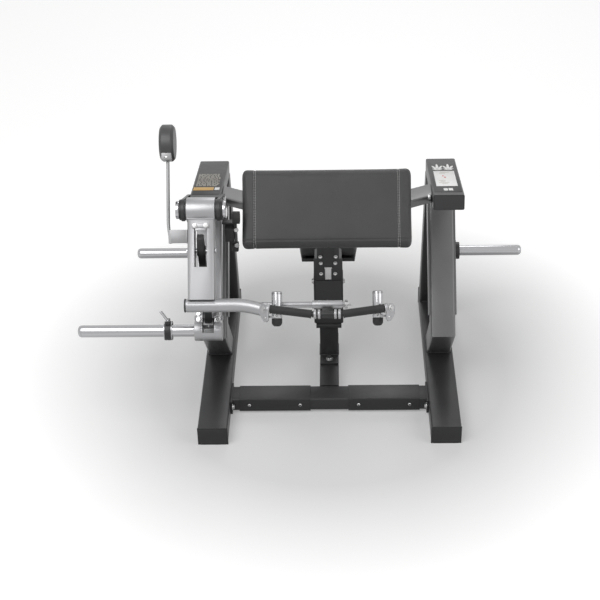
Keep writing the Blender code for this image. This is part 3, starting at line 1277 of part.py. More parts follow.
def make_weight_arm(arm):
    """The arm behind the lever: pivot hub, tube, fork at its foot, and the plate horn."""
    x = -SIDE_X
    foot = WEIGHT_ARM_LENGTH
    body = tube("weight_arm", [lever_point(x, 0, 0), lever_point(x, 0, foot)], X_AXIS,
                LEVER_WIDTH, WEIGHT_ARM_DEPTH, LEVER_WALL, SILVER, arm)
    head = cylinder("head", WEIGHT_HEAD_RADIUS, (x - LEVER_WIDTH / 2, 0, 0),
                    (x + LEVER_WIDTH / 2, 0, 0), SILVER, arm)
    hub = cylinder("hub", WEIGHT_HUB_RADIUS, lever_point(x - WEIGHT_HUB_WIDTH / 2, 0, foot),
                   lever_point(x + WEIGHT_HUB_WIDTH / 2, 0, foot), SILVER, arm, sides=40)
    join(body, [head, hub])
    fork = box("fork", (FORK_GAP, 2 * WEIGHT_ARM_DEPTH, FORK_LENGTH),
               lever_point(x, 0, foot + FORK_OVERHANG - FORK_LENGTH / 2), SILVER, arm)
    bore = cylinder("bore", WEIGHT_PIVOT_RADIUS + GAP, (x - LEVER_WIDTH, 0, 0),
                    (x + LEVER_WIDTH, 0, 0), SILVER, arm)
    hub_side = x - WEIGHT_HUB_WIDTH / 2
    socket = cylinder("socket", HORN_RADIUS * SPIGOT_SHARE + GAP,
                      lever_point(hub_side - HORN_SPIGOT, 0, foot),
                      lever_point(hub_side + HORN_SPIGOT + GAP, 0, foot), SILVER, arm)
    cut(body, [fork, bore, socket])
    heads = [bolt("fork_bolt", lever_point(x + hand * LEVER_WIDTH / 2, 0, foot - FORK_BOLT_SETBACK),
                  (hand, 0, 0), arm, radius=FORK_BOLT_RADIUS) for hand in (-1, 1)]
    web = box("fork_web", (FORK_GAP + 2 * FORK_WEB_SINK, FORK_WEB_THICKNESS, FORK_WEB_HEIGHT),
              lever_point(x, (FORK_WEB_THICKNESS - WEIGHT_ARM_DEPTH) / 2, foot - FORK_WEB_SETBACK),
              SILVER, arm)
    join(body, heads + [web])
    start_x = hub_side - GAP
    horn = horn_solid("weight_horn", HORN_RADIUS, start_x - HORN_TIP_X, -1, arm, spigot=HORN_SPIGOT)
    horn.location = lever_point(start_x, 0, foot)


def make_collar(slide):
    """The spring collar on the horn and its cam lever."""
    collar = cylinder("weight_collar", COLLAR_RADIUS, (COLLAR_X - COLLAR_WIDTH / 2, 0, 0),
                      (COLLAR_X + COLLAR_WIDTH / 2, 0, 0), BLACK, slide, sides=40)
    lug_z = COLLAR_RADIUS + COLLAR_LUG_RISE / 2 - COLLAR_LUG_SINK
    lug_y = (COLLAR_LUG_GAP + COLLAR_LUG_THICKNESS) / 2
    lugs = [box("lug", (COLLAR_LUG_LENGTH, COLLAR_LUG_THICKNESS, COLLAR_LUG_RISE),
                (COLLAR_X, hand * lug_y, lug_z), BLACK, slide) for hand in (-1, 1)]
    join(collar, lugs)
    bore = cylinder("bore", HORN_RADIUS + GAP, (COLLAR_X - COLLAR_WIDTH, 0, 0),
                    (COLLAR_X + COLLAR_WIDTH, 0, 0), BLACK, slide)
    cut(collar, [bore])
    pivot_z = COLLAR_RADIUS + COLLAR_LEVER_ROOT + RUNNING_CLEARANCE
    pivot = new_empty("collar_lever_pivot", (COLLAR_X, 0, pivot_z), slide)
    lean = Vector((-math.sin(COLLAR_LEVER_LEAN), 0, math.cos(COLLAR_LEVER_LEAN)))
    handle = cylinder("collar_lever", COLLAR_LEVER_RADIUS, (0, 0, 0), lean * COLLAR_LEVER_LENGTH,
                      CHROME, pivot, sides=20)
    half = COLLAR_LEVER_WIDTH / 2
    root = cylinder("root", COLLAR_LEVER_ROOT, (0, -half, 0), (0, half, 0), CHROME, pivot, sides=20)
    join(handle, [root])
    return pivot


def make_rod(link, length):
    """The connecting rod: an eye on the lever's pin and a foot in the weight arm's fork."""
    x = -SIDE_X
    rod = box("link_rod", (ROD_WIDTH, ROD_DEPTH, length + ROD_RISE), (x, 0, (ROD_RISE - length) / 2),
              BLACK, link, bevel=ROD_EDGE)
    eye = cylinder("eye", ROD_HEAD_RADIUS, (x - ROD_WIDTH / 2, 0, 0), (x + ROD_WIDTH / 2, 0, 0),
                   BLACK, link)
    foot = cylinder("foot", ROD_FOOT_RADIUS, (x - ROD_END_WIDTH / 2, 0, -length),
                    (x + ROD_END_WIDTH / 2, 0, -length), BLACK, link)
    join(rod, [eye, foot])
    bore = cylinder("bore", ROD_PIN_RADIUS + GAP, (x - ROD_WIDTH, 0, 0), (x + ROD_WIDTH, 0, 0),
                    BLACK, link, sides=24)
    cut(rod, [bore])


def centre_on_origin(datum):
    """Move the machine so that its box is centred over the origin."""
    bpy.context.view_layer.update()
    graph = bpy.context.evaluated_depsgraph_get()
    low = Vector((1e9,) * 3)
    high = Vector((-1e9,) * 3)
    for obj in PARTS.objects:
        if obj.type != "MESH":
            continue
        shown = obj.evaluated_get(graph)
        for vertex in shown.data.vertices:
            place = shown.matrix_world @ vertex.co
            low = Vector(map(min, low, place))
            high = Vector(map(max, high, place))
    datum.location = (-(low.x + high.x) / 2, -(low.y + high.y) / 2, -low.z)
    print("size", [round(v, 4) for v in high - low])


def main():
    global PARTS
    clear_scene()
    PARTS = new_collection("biceps_machine")
    make_materials()
    datum = new_empty("machine_datum", (0, 0, 0))
    for side, sign in (("left", -1), ("right", 1)):
        make_rail(side, sign, datum)
        make_front_leg(side, sign, datum)
        make_rear_leg(side, sign, datum)
        make_beam(side, sign, datum)
        make_storage_horn(side, sign, datum)
    make_cross_member(datum)
    make_column(datum)
    seat = new_empty("seat_slide", (0, 0, 0), datum)
    release = make_release(*make_seat(seat), seat)
    make_arm_pad(datum)
    make_pivot(datum)
    make_weight_hanger(datum)
    lever = new_empty("lever_pivot", PIVOT, datum, tilt=-LEVER_TILT)
    make_lever(lever)
    yoke = new_empty("grip_pivot", lever_point(0, 0, BAR_DROP), lever)
    make_grips(yoke)
    arm = new_empty("weight_arm_pivot", ARM_PIVOT, datum, tilt=-WEIGHT_ARM_TILT)
    make_weight_arm(arm)
    collar = new_empty("collar_slide", lever_point(0, 0, WEIGHT_ARM_LENGTH), arm, tilt=WEIGHT_ARM_TILT)
    collar_lever = make_collar(collar)
    down = unit(-math.pi / 2 - LEVER_TILT)
    rod_top = PIVOT + down * ROD_PIN_DROP
    rod_reach = WEIGHT_ARM_LENGTH - ROD_PIVOT_SETBACK
    rod_foot = ARM_PIVOT + unit(-math.pi / 2 - WEIGHT_ARM_TILT) * rod_reach
    run = rod_foot - rod_top
    link = new_empty("link_pivot", rod_top, datum, tilt=math.atan2(run.y, -run.z))
    make_rod(link, run.length)
    centre_on_origin(datum)
    bpy.context.view_layer.update()
    for empty in (datum, lever, yoke, arm, collar, collar_lever, link, seat, release):
        print("joint", empty.name, [round(v, 5) for v in empty.matrix_world.translation])


main()
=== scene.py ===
"""Looks of a plate-loaded preacher curl machine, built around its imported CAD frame.

Metres, +Z up. The grips face -Y and the seat +Y; left and right are as seen from the
grips. Every new surface is a grid or a profile worked out with numpy, placed in the
frame's own coordinates, and rides on the body that carries it.
"""

import itertools
import logging
import math
from dataclasses import dataclass
from enum import Enum
from typing import Any, Callable, ClassVar, Iterable, Sequence

import bmesh
import bpy
import numpy as np
from mathutils import Matrix, Vector
from mathutils.bvhtree import BVHTree


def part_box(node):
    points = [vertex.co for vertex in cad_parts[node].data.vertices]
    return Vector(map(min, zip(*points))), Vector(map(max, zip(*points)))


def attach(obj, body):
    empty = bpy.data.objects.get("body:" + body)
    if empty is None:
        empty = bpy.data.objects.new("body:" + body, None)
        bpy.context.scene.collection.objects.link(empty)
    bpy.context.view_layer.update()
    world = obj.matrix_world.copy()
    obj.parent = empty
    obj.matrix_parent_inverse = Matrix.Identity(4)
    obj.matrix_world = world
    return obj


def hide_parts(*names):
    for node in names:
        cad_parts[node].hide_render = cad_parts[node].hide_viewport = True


LOG = logging.getLogger("curl_machine")
TAU = 2.0 * math.pi
MERGE = 1e-5
BROAD_SCALE = 9.0
BRUSH_STRETCH = (1.0, 0.012, 0.012)
CREASE_SHIFT = (0.0035, 0.0035, 0.0035)
CREASE_WIDTH = 0.22
PORE_SCALE = 2600.0
PORE_DEPTH = 0.12
DUST_SCALE = 14.0
DUST_COLOUR = (0.42, 0.41, 0.40, 1.0)
STREAK_STRETCH = (1.0, 1.6, 0.25)
MARK_SCALE = 60.0
MARK_ROUGHNESS = 0.10
ROUGHNESS_SWING = 0.12
COAT_ROUGHNESS = 0.25
FLAT_ANGLE = math.radians(0.6)
BEVEL_ANGLE = math.radians(38)
Triple = tuple[float, float, float]
Area = tuple[float, float, float, float]
BoltSize = tuple[float, ...]
PlateRows = tuple[tuple[Triple, Triple, float], ...]
WeldRows = tuple[tuple[float, float, float, float], ...]
FORWARD = (0, -1, 0)
SIDES = (("left", -1), ("right", 1))


class Body(Enum):
    """The moving bodies of the machine, by the record's names."""

    FRAME = "frame"
    LEVER = "lever"
    YOKE = "grip_yoke_body"
    ROD = "link"
    WEIGHT_ARM = "weight_arm_body"
    COLLAR = "collar"
    COLLAR_LEVER = "collar_lever_body"
    SEAT = "seat"
    RELEASE = "seat_release"


class Texture(Enum):
    """Fine relief of a surface."""

    POWDER = "powder"
    BRUSHED = "brushed"
    LEATHER = "leather"
    MOULDED = "moulded"
    CAST = "cast"
    THREAD = "thread"


@dataclass(frozen=True)
class Finish:
    """One finish: its colour, gloss and relief.

    relief_scale counts features per metre, relief_depth is their height in metres,
    mottle is how far the colour varies, on leather also as painted shade in its creases, and dust how much
    settles on level faces.
    """

    name: str
    slot: str
    colour: Triple
    roughness: float
    texture: Texture
    metallic: float = 0.0
    relief_scale: float = 900.0
    relief_depth: float = 0.00005
    mottle: float = 0.10
    dust: float = 0.02
    coat: float = 0.0
    sheen: float = 0.0
    specular: float = 0.5


GRAPHITE = Finish("graphite_powder_coat", "graphite_paint", (0.050, 0.050, 0.052), 0.38,
                  Texture.POWDER, metallic=0.30, relief_scale=700, relief_depth=0.00006, specular=0.30)
BLACK_COAT = Finish("black_powder_coat", "graphite_paint", (0.015, 0.015, 0.016), 0.45,
                    Texture.POWDER, metallic=0.15, relief_scale=700, relief_depth=0.00006)
SILVER = Finish("silver_powder_coat", "silver_paint", (0.38, 0.38, 0.39), 0.36, Texture.POWDER,
                metallic=0.55, relief_scale=1100, relief_depth=0.00003, mottle=0.05, coat=0.25)
# A darker copy of the silver paint: painted shade on the counterweight's stem, bracket and clamp.
SHADED_SILVER = Finish("silver_with_painted_shade", "silver_paint", (0.27, 0.27, 0.275), 0.40, Texture.POWDER,
                    metallic=0.45, relief_scale=1100, relief_depth=0.00003, mottle=0.05, coat=0.15)
STEEL = Finish("polished_steel", "polished_steel", (0.38, 0.38, 0.39), 0.18, Texture.BRUSHED,
               metallic=1.0, relief_scale=1500, relief_depth=0.000012, mottle=0.08, dust=0.02)
# A lighter copy of the zinc plating: painted light, so the seat's release tab and some small screws look
# lit.
LIT_ZINC = Finish("zinc_with_painted_light", "polished_steel", (0.80, 0.80, 0.80), 0.30, Texture.MOULDED,
                metallic=0.6, relief_scale=500, relief_depth=0.00001, mottle=0.06, dust=0.0)
ZINC = Finish("zinc_plate", "polished_steel", (0.44, 0.44, 0.44), 0.28, Texture.MOULDED,
              metallic=1.0, relief_scale=500, relief_depth=0.00001, mottle=0.12, dust=0.02)
PLASTIC = Finish("black_plastic", "black_plastic", (0.014, 0.014, 0.015), 0.44, Texture.MOULDED,
                 relief_scale=1400, relief_depth=0.00007)
RUBBER = Finish("black_rubber", "black_rubber", (0.012, 0.012, 0.012), 0.70, Texture.MOULDED,
                relief_scale=600, relief_depth=0.00005, mottle=0.2, sheen=0.1)
VINYL = Finish("black_vinyl", "black_vinyl", (0.028, 0.028, 0.029), 0.50, Texture.LEATHER,
               relief_scale=620, relief_depth=0.00022, mottle=0.10, coat=0.08, dust=0.03)
THREAD = Finish("grey_thread", "black_vinyl", (0.50, 0.50, 0.49), 0.70, Texture.THREAD,
                relief_scale=1800, relief_depth=0.0001, mottle=0.15, dust=0.0, sheen=0.3)
CAST = Finish("coated_iron", "cast_weight", (0.060, 0.060, 0.062), 0.46, Texture.CAST,
              metallic=0.3, relief_scale=260, relief_depth=0.00010, coat=0.1)
# A lighter copy of the graphite paint: painted light, for the light that the front legs and cross arms
# catch.
LIT_GRAPHITE = Finish("graphite_with_painted_light", "graphite_paint", (0.14, 0.14, 0.142), 0.36,
                    Texture.POWDER, metallic=0.40, relief_scale=700, relief_depth=0.00005, coat=0.2)
CARD_WHITE = Finish("white_film", "placard_film", (0.98, 0.98, 0.97), 0.38, Texture.MOULDED,
                    relief_depth=0.00001, mottle=0.03, dust=0.02, coat=0.2)
CARD_BLACK = Finish("black_film", "placard_film", (0.022, 0.022, 0.023), 0.42, Texture.MOULDED,
                    relief_depth=0.00001, mottle=0.05, dust=0.02, specular=0.3)
CARD_BEIGE = Finish("beige_ink", "placard_film", (0.55, 0.52, 0.46), 0.45, Texture.MOULDED,
                    relief_depth=0.00001, mottle=0.08, dust=0.0)
CARD_AMBER = Finish("amber_ink", "placard_film", (0.72, 0.42, 0.10), 0.45, Texture.MOULDED,
                    relief_depth=0.00001, mottle=0.06, dust=0.0)
CARD_RED = Finish("red_ink", "placard_film", (0.60, 0.07, 0.05), 0.45, Texture.MOULDED,
                  relief_depth=0.00001, mottle=0.06, dust=0.0)


class Graph:
    """A node tree with short calls to add its nodes and feed their sockets."""

    def __init__(self, tree: bpy.types.NodeTree) -> None:
        """Keep the tree that nodes go into."""
        self.tree = tree

    def add(self, kind: str, feeds: dict[Any, Any] | None = None, **settings: Any) -> Any:
        """Add one node.

        Args:
            kind: the node type without its ShaderNode prefix.
            feeds: socket name or number to a value or another node's output.
            settings: attributes of the node, such as operation.

        Returns:
            The new node.
        """
        node = self.tree.nodes.new("ShaderNode" + kind)
        for key, value in settings.items():
            setattr(node, key, value)
        for socket, value in (feeds or {}).items():
            self.feed(node.inputs[socket], value)
        return node

    def feed(self, socket: bpy.types.NodeSocket, value: Any) -> None:
        """Link an output to the socket, or set the socket to a plain value."""
        if isinstance(value, bpy.types.NodeSocket):
            self.tree.links.new(value, socket)
        else:
            socket.default_value = value

    def noise(self, vector: Any, scale: Any, detail: float = 3.0, rough: float = 0.5) -> Any:
        """Noise over a vector.

        Args:
            vector: the coordinates' output.
            scale: features per metre, a number or an output.
            detail: octaves.
            rough: how strong the finer octaves are.

        Returns:
            The value output.
        """
        node = self.add("TexNoise", {"Vector": vector, "Scale": scale, "Detail": detail,
                                     "Roughness": rough})
        return node.outputs[0]

    def math(self, operation: str, *values: Any) -> Any:
        """One Math node on the values; returns its output."""
        return self.add("Math", dict(enumerate(values)), operation=operation).outputs[0]

    def vectors(self, operation: str, *values: Any) -> Any:
        """One Vector Math node on the values; returns its vector output."""
        return self.add("VectorMath", dict(enumerate(values)), operation=operation).outputs[0]

    def blend(self, first: Any, second: Any, share: float) -> Any:
        """A share of the first value and the rest of the second; returns the output."""
        return self.math("ADD", self.math("MULTIPLY", first, share),
                         self.math("MULTIPLY", second, 1 - share))

    def spread(self, value: Any, low: float, high: float, out_low: Any, out_high: Any) -> Any:
        """Map a value's range onto another, clamped; returns the output."""
        return self.add("MapRange", {0: value, 1: low, 2: high, 3: out_low, 4: out_high}).outputs[0]


def new_group(name: str, inputs: dict[str, str], outputs: Sequence[str]) -> tuple[Any, Graph, Any, Any]:
    """Start a shader node group.

    Args:
        name: the group's name.
        inputs: the type of each input, Vector or Float, by its name.
        outputs: names of the outputs, which are plain values.

    Returns:
        The group, its Graph, the group input's sockets and the group output's sockets.
    """
    group = bpy.data.node_groups.new(name, "ShaderNodeTree")
    for label, kind in inputs.items():
        group.interface.new_socket(name=label, in_out="INPUT", socket_type="NodeSocket" + kind)
    for label in outputs:
        group.interface.new_socket(name=label, in_out="OUTPUT", socket_type="NodeSocketFloat")
    entry = group.nodes.new("NodeGroupInput")
    leave = group.nodes.new("NodeGroupOutput")
    return group, Graph(group), entry.outputs, leave.inputs


class FinishShop:
    """Builds the shared effects once, and one material for each finish that is asked for."""

    def __init__(self) -> None:
        """Build the shared node groups."""
        self.made: dict[str, bpy.types.Material] = {}
        self.reliefs = {kind: self._relief_group(kind) for kind in Texture}
        self.settling = self._settling_group()

    def _relief_group(self, kind: Texture) -> Any:
        """The relief of one texture.

        Args:
            kind: which texture.

        Returns:
            A group with Vector and Scale inputs, and Height and Tone outputs.
        """
        group, graph, entry, leave = new_group(
            "relief_" + kind.value, {"Vector": "Vector", "Scale": "Float"}, ("Height", "Tone"))
        vector, scale = entry["Vector"], entry["Scale"]
        broad = graph.noise(vector, BROAD_SCALE, 4.0)
        if kind is Texture.LEATHER:
            height, tone = self._leather(graph, vector, scale, broad)
        elif kind is Texture.BRUSHED:
            height = graph.noise(graph.vectors("MULTIPLY", vector, BRUSH_STRETCH), scale, 2.0, 0.6)
            tone = graph.math("MULTIPLY_ADD", height, 0.6, 0.5)
        elif kind is Texture.THREAD:
            wave = graph.add("TexWave", {"Vector": vector, "Scale": scale, "Distortion": 1.0},
                             bands_direction="DIAGONAL")
            height, tone = wave.outputs[1], broad
        elif kind is Texture.CAST:
            height = graph.noise(vector, scale, 5.0, 0.65)
            tone = graph.blend(height, broad, 0.5)
        else:
            height = graph.noise(vector, scale, 2.0 if kind is Texture.POWDER else 4.0, 0.55)
            tone = graph.blend(height, broad, 0.35)
        graph.feed(leave["Height"], height)
        graph.feed(leave["Tone"], tone)
        return group

    @staticmethod
    def _leather(graph: Graph, vector: Any, scale: Any, broad: Any) -> tuple[Any, Any]:
        """Pebbled skin: rounded cells with creases between them, bent by noise.

        Args:
            graph: the group's graph.
            vector: coordinates.
            scale: cells per metre.
            broad: a wide noise.

        Returns:
            The height output, and the tone output, which is darker in the creases: painted shade.
        """
        bend = graph.add("TexNoise", {"Vector": vector, "Scale": 160.0, "Detail": 2.0}).outputs[1]
        place = graph.vectors("ADD", vector, graph.vectors("MULTIPLY", bend, CREASE_SHIFT))
        cells = graph.add("TexVoronoi", {"Vector": place, "Scale": scale},
                          feature="DISTANCE_TO_EDGE").outputs[0]
        crease = graph.spread(cells, 0.0, CREASE_WIDTH, 0.0, 1.0)
        pores = graph.math("MULTIPLY", graph.noise(vector, PORE_SCALE, 1.0), PORE_DEPTH)
        # The tone darkens the creases, a painted shade, mixed with a broad random tone.
        return graph.math("ADD", crease, pores), graph.blend(crease, broad, 0.45)

    @staticmethod
    def _settling_group() -> Any:
        """Dust on level faces and faint handling marks.

        Returns:
            A group with a Vector input, and Dust and Marks outputs.
        """
        group, graph, entry, leave = new_group("settling", {"Vector": "Vector"}, ("Dust", "Marks"))
        vector = entry["Vector"]
        up = graph.add("SeparateXYZ", {0: graph.add("NewGeometry").outputs["Normal"]}).outputs[2]
        level = graph.spread(up, 0.55, 1.0, 0.0, 1.0)
        drift = graph.spread(graph.noise(vector, DUST_SCALE, 6.0, 0.6), 0.42, 0.75, 0.15, 1.0)
        graph.feed(leave["Dust"], graph.math("MULTIPLY", level, drift))
        streaks = graph.vectors("MULTIPLY", vector, STREAK_STRETCH)
        marks = graph.spread(graph.noise(streaks, MARK_SCALE, 5.0, 0.7), 0.56, 0.72, 0.0, 1.0)
        graph.feed(leave["Marks"], marks)
        return group

    def material(self, finish: Finish) -> bpy.types.Material:
        """The material of a finish, made the first time that it is asked for.

        Args:
            finish: what the surface is made of.

        Returns:
            The material.
        """
        if finish.name in self.made:
            return self.made[finish.name]
        material = bpy.data.materials.new(finish.name)
        material.use_nodes = True
        graph = Graph(material.node_tree)
        shader = material.node_tree.nodes["Principled BSDF"]
        vector = graph.add("TexCoord").outputs["Object"]
        relief = self._placed(graph, self.reliefs[finish.texture], vector)
        relief.inputs["Scale"].default_value = finish.relief_scale
        settling = self._placed(graph, self.settling, vector)
        tone = graph.spread(relief.outputs["Tone"], 0.25, 0.75, -1.0, 1.0)
        # The tone varies the colour at random; on leather it also darkens the creases, a painted shade.
        shade = graph.math("MULTIPLY_ADD", tone, finish.mottle, 1.0)
        colour = graph.add("VectorMath", {0: finish.colour, 3: shade}, operation="SCALE").outputs[0]
        dust = graph.math("MULTIPLY", settling.outputs["Dust"], finish.dust)
        dusty = graph.add("Mix", {0: dust, 6: colour, 7: DUST_COLOUR}, data_type="RGBA")
        rough = graph.math("MULTIPLY_ADD", settling.outputs["Marks"], MARK_ROUGHNESS, finish.roughness)
        swing = graph.math("MULTIPLY", tone, -ROUGHNESS_SWING * finish.roughness)
        bump = graph.add("Bump", {"Height": relief.outputs["Height"], "Strength": 1.0,
                                  "Distance": finish.relief_depth})
        for socket, value in {
                "Base Color": dusty.outputs[2], "Roughness": graph.math("ADD", rough, swing),
                "Normal": bump.outputs[0], "Metallic": finish.metallic,
                "Specular IOR Level": finish.specular, "Coat Weight": finish.coat,
                "Coat Roughness": COAT_ROUGHNESS, "Sheen Weight": finish.sheen}.items():
            graph.feed(shader.inputs[socket], value)
        material.diffuse_color = (*finish.colour, 1.0)
        self.made[finish.name] = material
        return material

    @staticmethod
    def _placed(graph: Graph, group: Any, vector: Any) -> Any:
        """Put a shared group into a material and feed its coordinates; returns the node.

        Args:
            graph: the material's graph.
            group: the shared group.
            vector: coordinates.

        Returns:
            The group's node.
        """
        node = graph.add("Group")
        node.node_tree = group
        graph.feed(node.inputs["Vector"], vector)
        return node


@dataclass
class Shape:
    """A surface as whole arrays: points (n, 3) and a list of face arrays (m, corners)."""

    points: np.ndarray
    faces: list[np.ndarray]

    def __add__(self, other: "Shape") -> "Shape":
        """Both surfaces in one."""
        moved = [faces + len(self.points) for faces in other.faces]
        return Shape(np.vstack([self.points, other.points]), self.faces + moved)

    def placed(self, matrix: Matrix) -> "Shape":
        """The surface carried by a 4x4 matrix."""
        table = np.array(matrix)
        return Shape(self.points @ table[:3, :3].T + table[:3, 3], self.faces)

    def at(self, place: Sequence[float]) -> "Shape":
        """The surface shifted by a vector."""
        return Shape(self.points + np.asarray(place, dtype=float), self.faces)


def total(shapes: Iterable[Shape]) -> Shape:
    """All the shapes in one.

    Args:
        shapes: at least one shape.

    Returns:
        The whole.
    """
    shapes = list(shapes)
    whole = shapes[0]
    for shape in shapes[1:]:
        whole = whole + shape
    return whole


def aim(direction: Sequence[float], place: Sequence[float] = (0, 0, 0)) -> Matrix:
    """A matrix that turns +X to a direction and moves the origin to a place."""
    turn = Vector((1, 0, 0)).rotation_difference(Vector(direction).normalized())
    return Matrix.Translation(Vector(place)) @ turn.to_matrix().to_4x4()


def turn_x(angle: float, place: Sequence[float] = (0, 0, 0)) -> Matrix:
    """A turn about X, then a move to a place."""
    return Matrix.Translation(Vector(place)) @ Matrix.Rotation(angle, 4, "X")


def quads(rows: int, columns: int, wrap_rows: bool = False, wrap_columns: bool = False) -> np.ndarray:
    """Faces of a grid whose point (i, j) is number i * columns + j.

    Args:
        rows: points along the first parameter.
        columns: points along the second parameter.
        wrap_rows: join the last row to the first.
        wrap_columns: join the last column to the first.

    Returns:
        Corner numbers, (n, 4).
    """
    i = np.arange(rows if wrap_rows else rows - 1)[:, None]
    j = np.arange(columns if wrap_columns else columns - 1)[None, :]
    here, right = i * columns, (j + 1) % columns
    below = ((i + 1) % rows) * columns
    return np.stack([here + j, here + right, below + right, below + j], axis=-1).reshape(-1, 4)


def lathe(profile: Sequence[tuple[float, float]], sides: int = 64,
          radius_at: Callable[[np.ndarray, np.ndarray], np.ndarray] | None = None) -> Shape:
    """A profile of (along, radius) turned about X: (s, r cos t, r sin t).

    Args:
        profile: points from one end to the other; radius 0 closes an end in a pole.
        sides: steps round the axis.
        radius_at: changes the radius, given the radii and the angles.

    Returns:
        The turned surface.
    """
    along, radius = np.array(profile, dtype=float).T
    angle = np.linspace(0, TAU, sides, endpoint=False)
    rings = np.repeat(radius[:, None], sides, axis=1)
    if radius_at:
        rings = radius_at(rings, angle[None, :])
    points = np.stack([np.repeat(along[:, None], sides, axis=1),
                       rings * np.cos(angle), rings * np.sin(angle)], axis=-1)
    return Shape(points.reshape(-1, 3), [quads(len(along), sides, wrap_columns=True)])


def fillet(corners: Sequence[tuple[float, float, float]], steps: int = 4) -> list[tuple[float, float]]:
    """Round the corners of an open profile.

    Each corner (a, b, radius) becomes a quadratic curve between the two points at its
    radius along the neighbouring edges.

    Args:
        corners: profile points with a rounding radius each.
        steps: points for each rounded corner.

    Returns:
        Profile points.
    """
    out = []
    for index, (a, b, radius) in enumerate(corners):
        here = np.array((a, b))
        if radius <= 0 or index in (0, len(corners) - 1):
            out.append((a, b))
            continue
        before = np.array(corners[index - 1][:2]) - here
        after = np.array(corners[index + 1][:2]) - here
        start = here + before / np.linalg.norm(before) * radius
        end = here + after / np.linalg.norm(after) * radius
        for step in np.linspace(0, 1, steps + 1):
            out.append(tuple((1 - step) ** 2 * start + 2 * step * (1 - step) * here + step ** 2 * end))
    return out


def sweep(path: np.ndarray, section: np.ndarray, side: Sequence[float], closed: bool = False,
          scale: np.ndarray | None = None) -> Shape:
    """A closed section carried along a path.

    At each path point the section's (u, v) lie along side and along side x tangent.

    Args:
        path: points, (n, 3).
        section: points round the section, (m, 2).
        side: the direction of u, kept square to the path.
        closed: the path returns to its start; otherwise the ends are capped.
        scale: size of the section at each path point.

    Returns:
        The swept surface.
    """
    path = np.asarray(path, dtype=float)
    tangent = np.gradient(path, axis=0) if not closed else np.roll(path, -1, 0) - np.roll(path, 1, 0)
    tangent /= np.linalg.norm(tangent, axis=1, keepdims=True)
    across = np.asarray(side, dtype=float)[None, :] - tangent * (tangent @ np.asarray(side, float))[:, None]
    across /= np.linalg.norm(across, axis=1, keepdims=True)
    through = np.cross(tangent, across)
    size = np.ones(len(path)) if scale is None else scale
    points = (path[:, None, :] + size[:, None, None] * (
        section[None, :, :1] * across[:, None, :] + section[None, :, 1:] * through[:, None, :]))
    count = len(section)
    faces = [quads(len(path), count, wrap_rows=closed, wrap_columns=True)]
    if not closed:
        last = (len(path) - 1) * count
        faces += [np.arange(count)[None, ::-1], last + np.arange(count)[None, :]]
    return Shape(points.reshape(-1, 3), faces)


def disc_section(radius: float, sides: int = 12) -> np.ndarray:
    """A round section, (sides, 2)."""
    angle = np.linspace(0, TAU, sides, endpoint=False)
    return radius * np.stack([np.cos(angle), np.sin(angle)], axis=1)


def block(size: Triple, radius: float | Triple = 0.001, steps: int = 2,
          pitch: float | None = None) -> Shape:
    """A box with rounded edges, centred on the origin.

    A grid over each face of the box is drawn in to a core that is smaller by the
    radius, then pushed back out by the radius along the line from the core.

    Args:
        size: the box's sides.
        radius: edge radius, or how far the rounding takes along each axis.
        steps: points across each rounded edge.
        pitch: about how far apart the grid's lines lie on the flats, or None for no lines.

    Returns:
        The closed surface.
    """
    half = np.array(size, dtype=float) / 2
    reach = np.full(3, min(radius, 0.98 * half.min())) if np.isscalar(radius) else np.array(radius)
    core = half - reach
    arcs = np.sin(np.linspace(0, math.pi / 2, steps + 1))[1:]
    shapes = []
    for axis in range(3):
        first, second = [a for a in range(3) if a != axis]
        lines = []
        for a in (first, second):
            count = max(3, int(2 * core[a] / pitch)) if pitch else 2
            arc = core[a] + arcs * reach[a]
            lines.append(np.concatenate([-arc[::-1], np.linspace(-core[a], core[a], count), arc]))
        u, v = np.meshgrid(*lines, indexing="ij")
        for sign in (-1.0, 1.0):
            flat = np.zeros(u.shape + (3,))
            flat[..., first], flat[..., second], flat[..., axis] = u, v, sign * half[axis]
            inner = np.clip(flat, -core, core)
            out = (flat - inner) / reach
            out /= np.maximum(np.linalg.norm(out, axis=-1, keepdims=True), 1e-12)
            shapes.append(Shape((inner + out * reach).reshape(-1, 3), [quads(*u.shape)]))
    return total(shapes)


def slab(outline: Sequence[tuple[float, float]], thickness: float, edge: float = 0.0006) -> Shape:
    """A flat plate: an outline of (y, z) with its rims eased, as thick as given along X.

    Args:
        outline: points round the plate.
        thickness: size along X.
        edge: how far the rims are eased.

    Returns:
        The closed plate, centred on x = 0.
    """
    ring = np.array(outline, dtype=float)
    centre = ring.mean(axis=0)
    reach = np.linalg.norm(ring - centre, axis=1, keepdims=True)
    small = centre + (ring - centre) * (1 - edge / reach)
    half = thickness / 2
    rows = [(-half, small), (-half + edge, ring), (half - edge, ring), (half, small)]
    points = np.vstack([np.column_stack([np.full(len(r), x), r]) for x, r in rows])
    count = len(ring)
    last = 3 * count
    faces = [quads(4, count, wrap_columns=True), np.arange(count)[None, ::-1],
             last + np.arange(count)[None, :]]
    return Shape(points, faces)


def hexagon(radii: np.ndarray, angle: np.ndarray) -> np.ndarray:
    """Radius limited by a hexagon whose flats are at radius times cos 30 degrees."""
    turn = (angle + math.pi / 6) % (math.pi / 3) - math.pi / 6
    return np.minimum(radii, radii.max() * math.cos(math.pi / 6) / np.cos(turn))


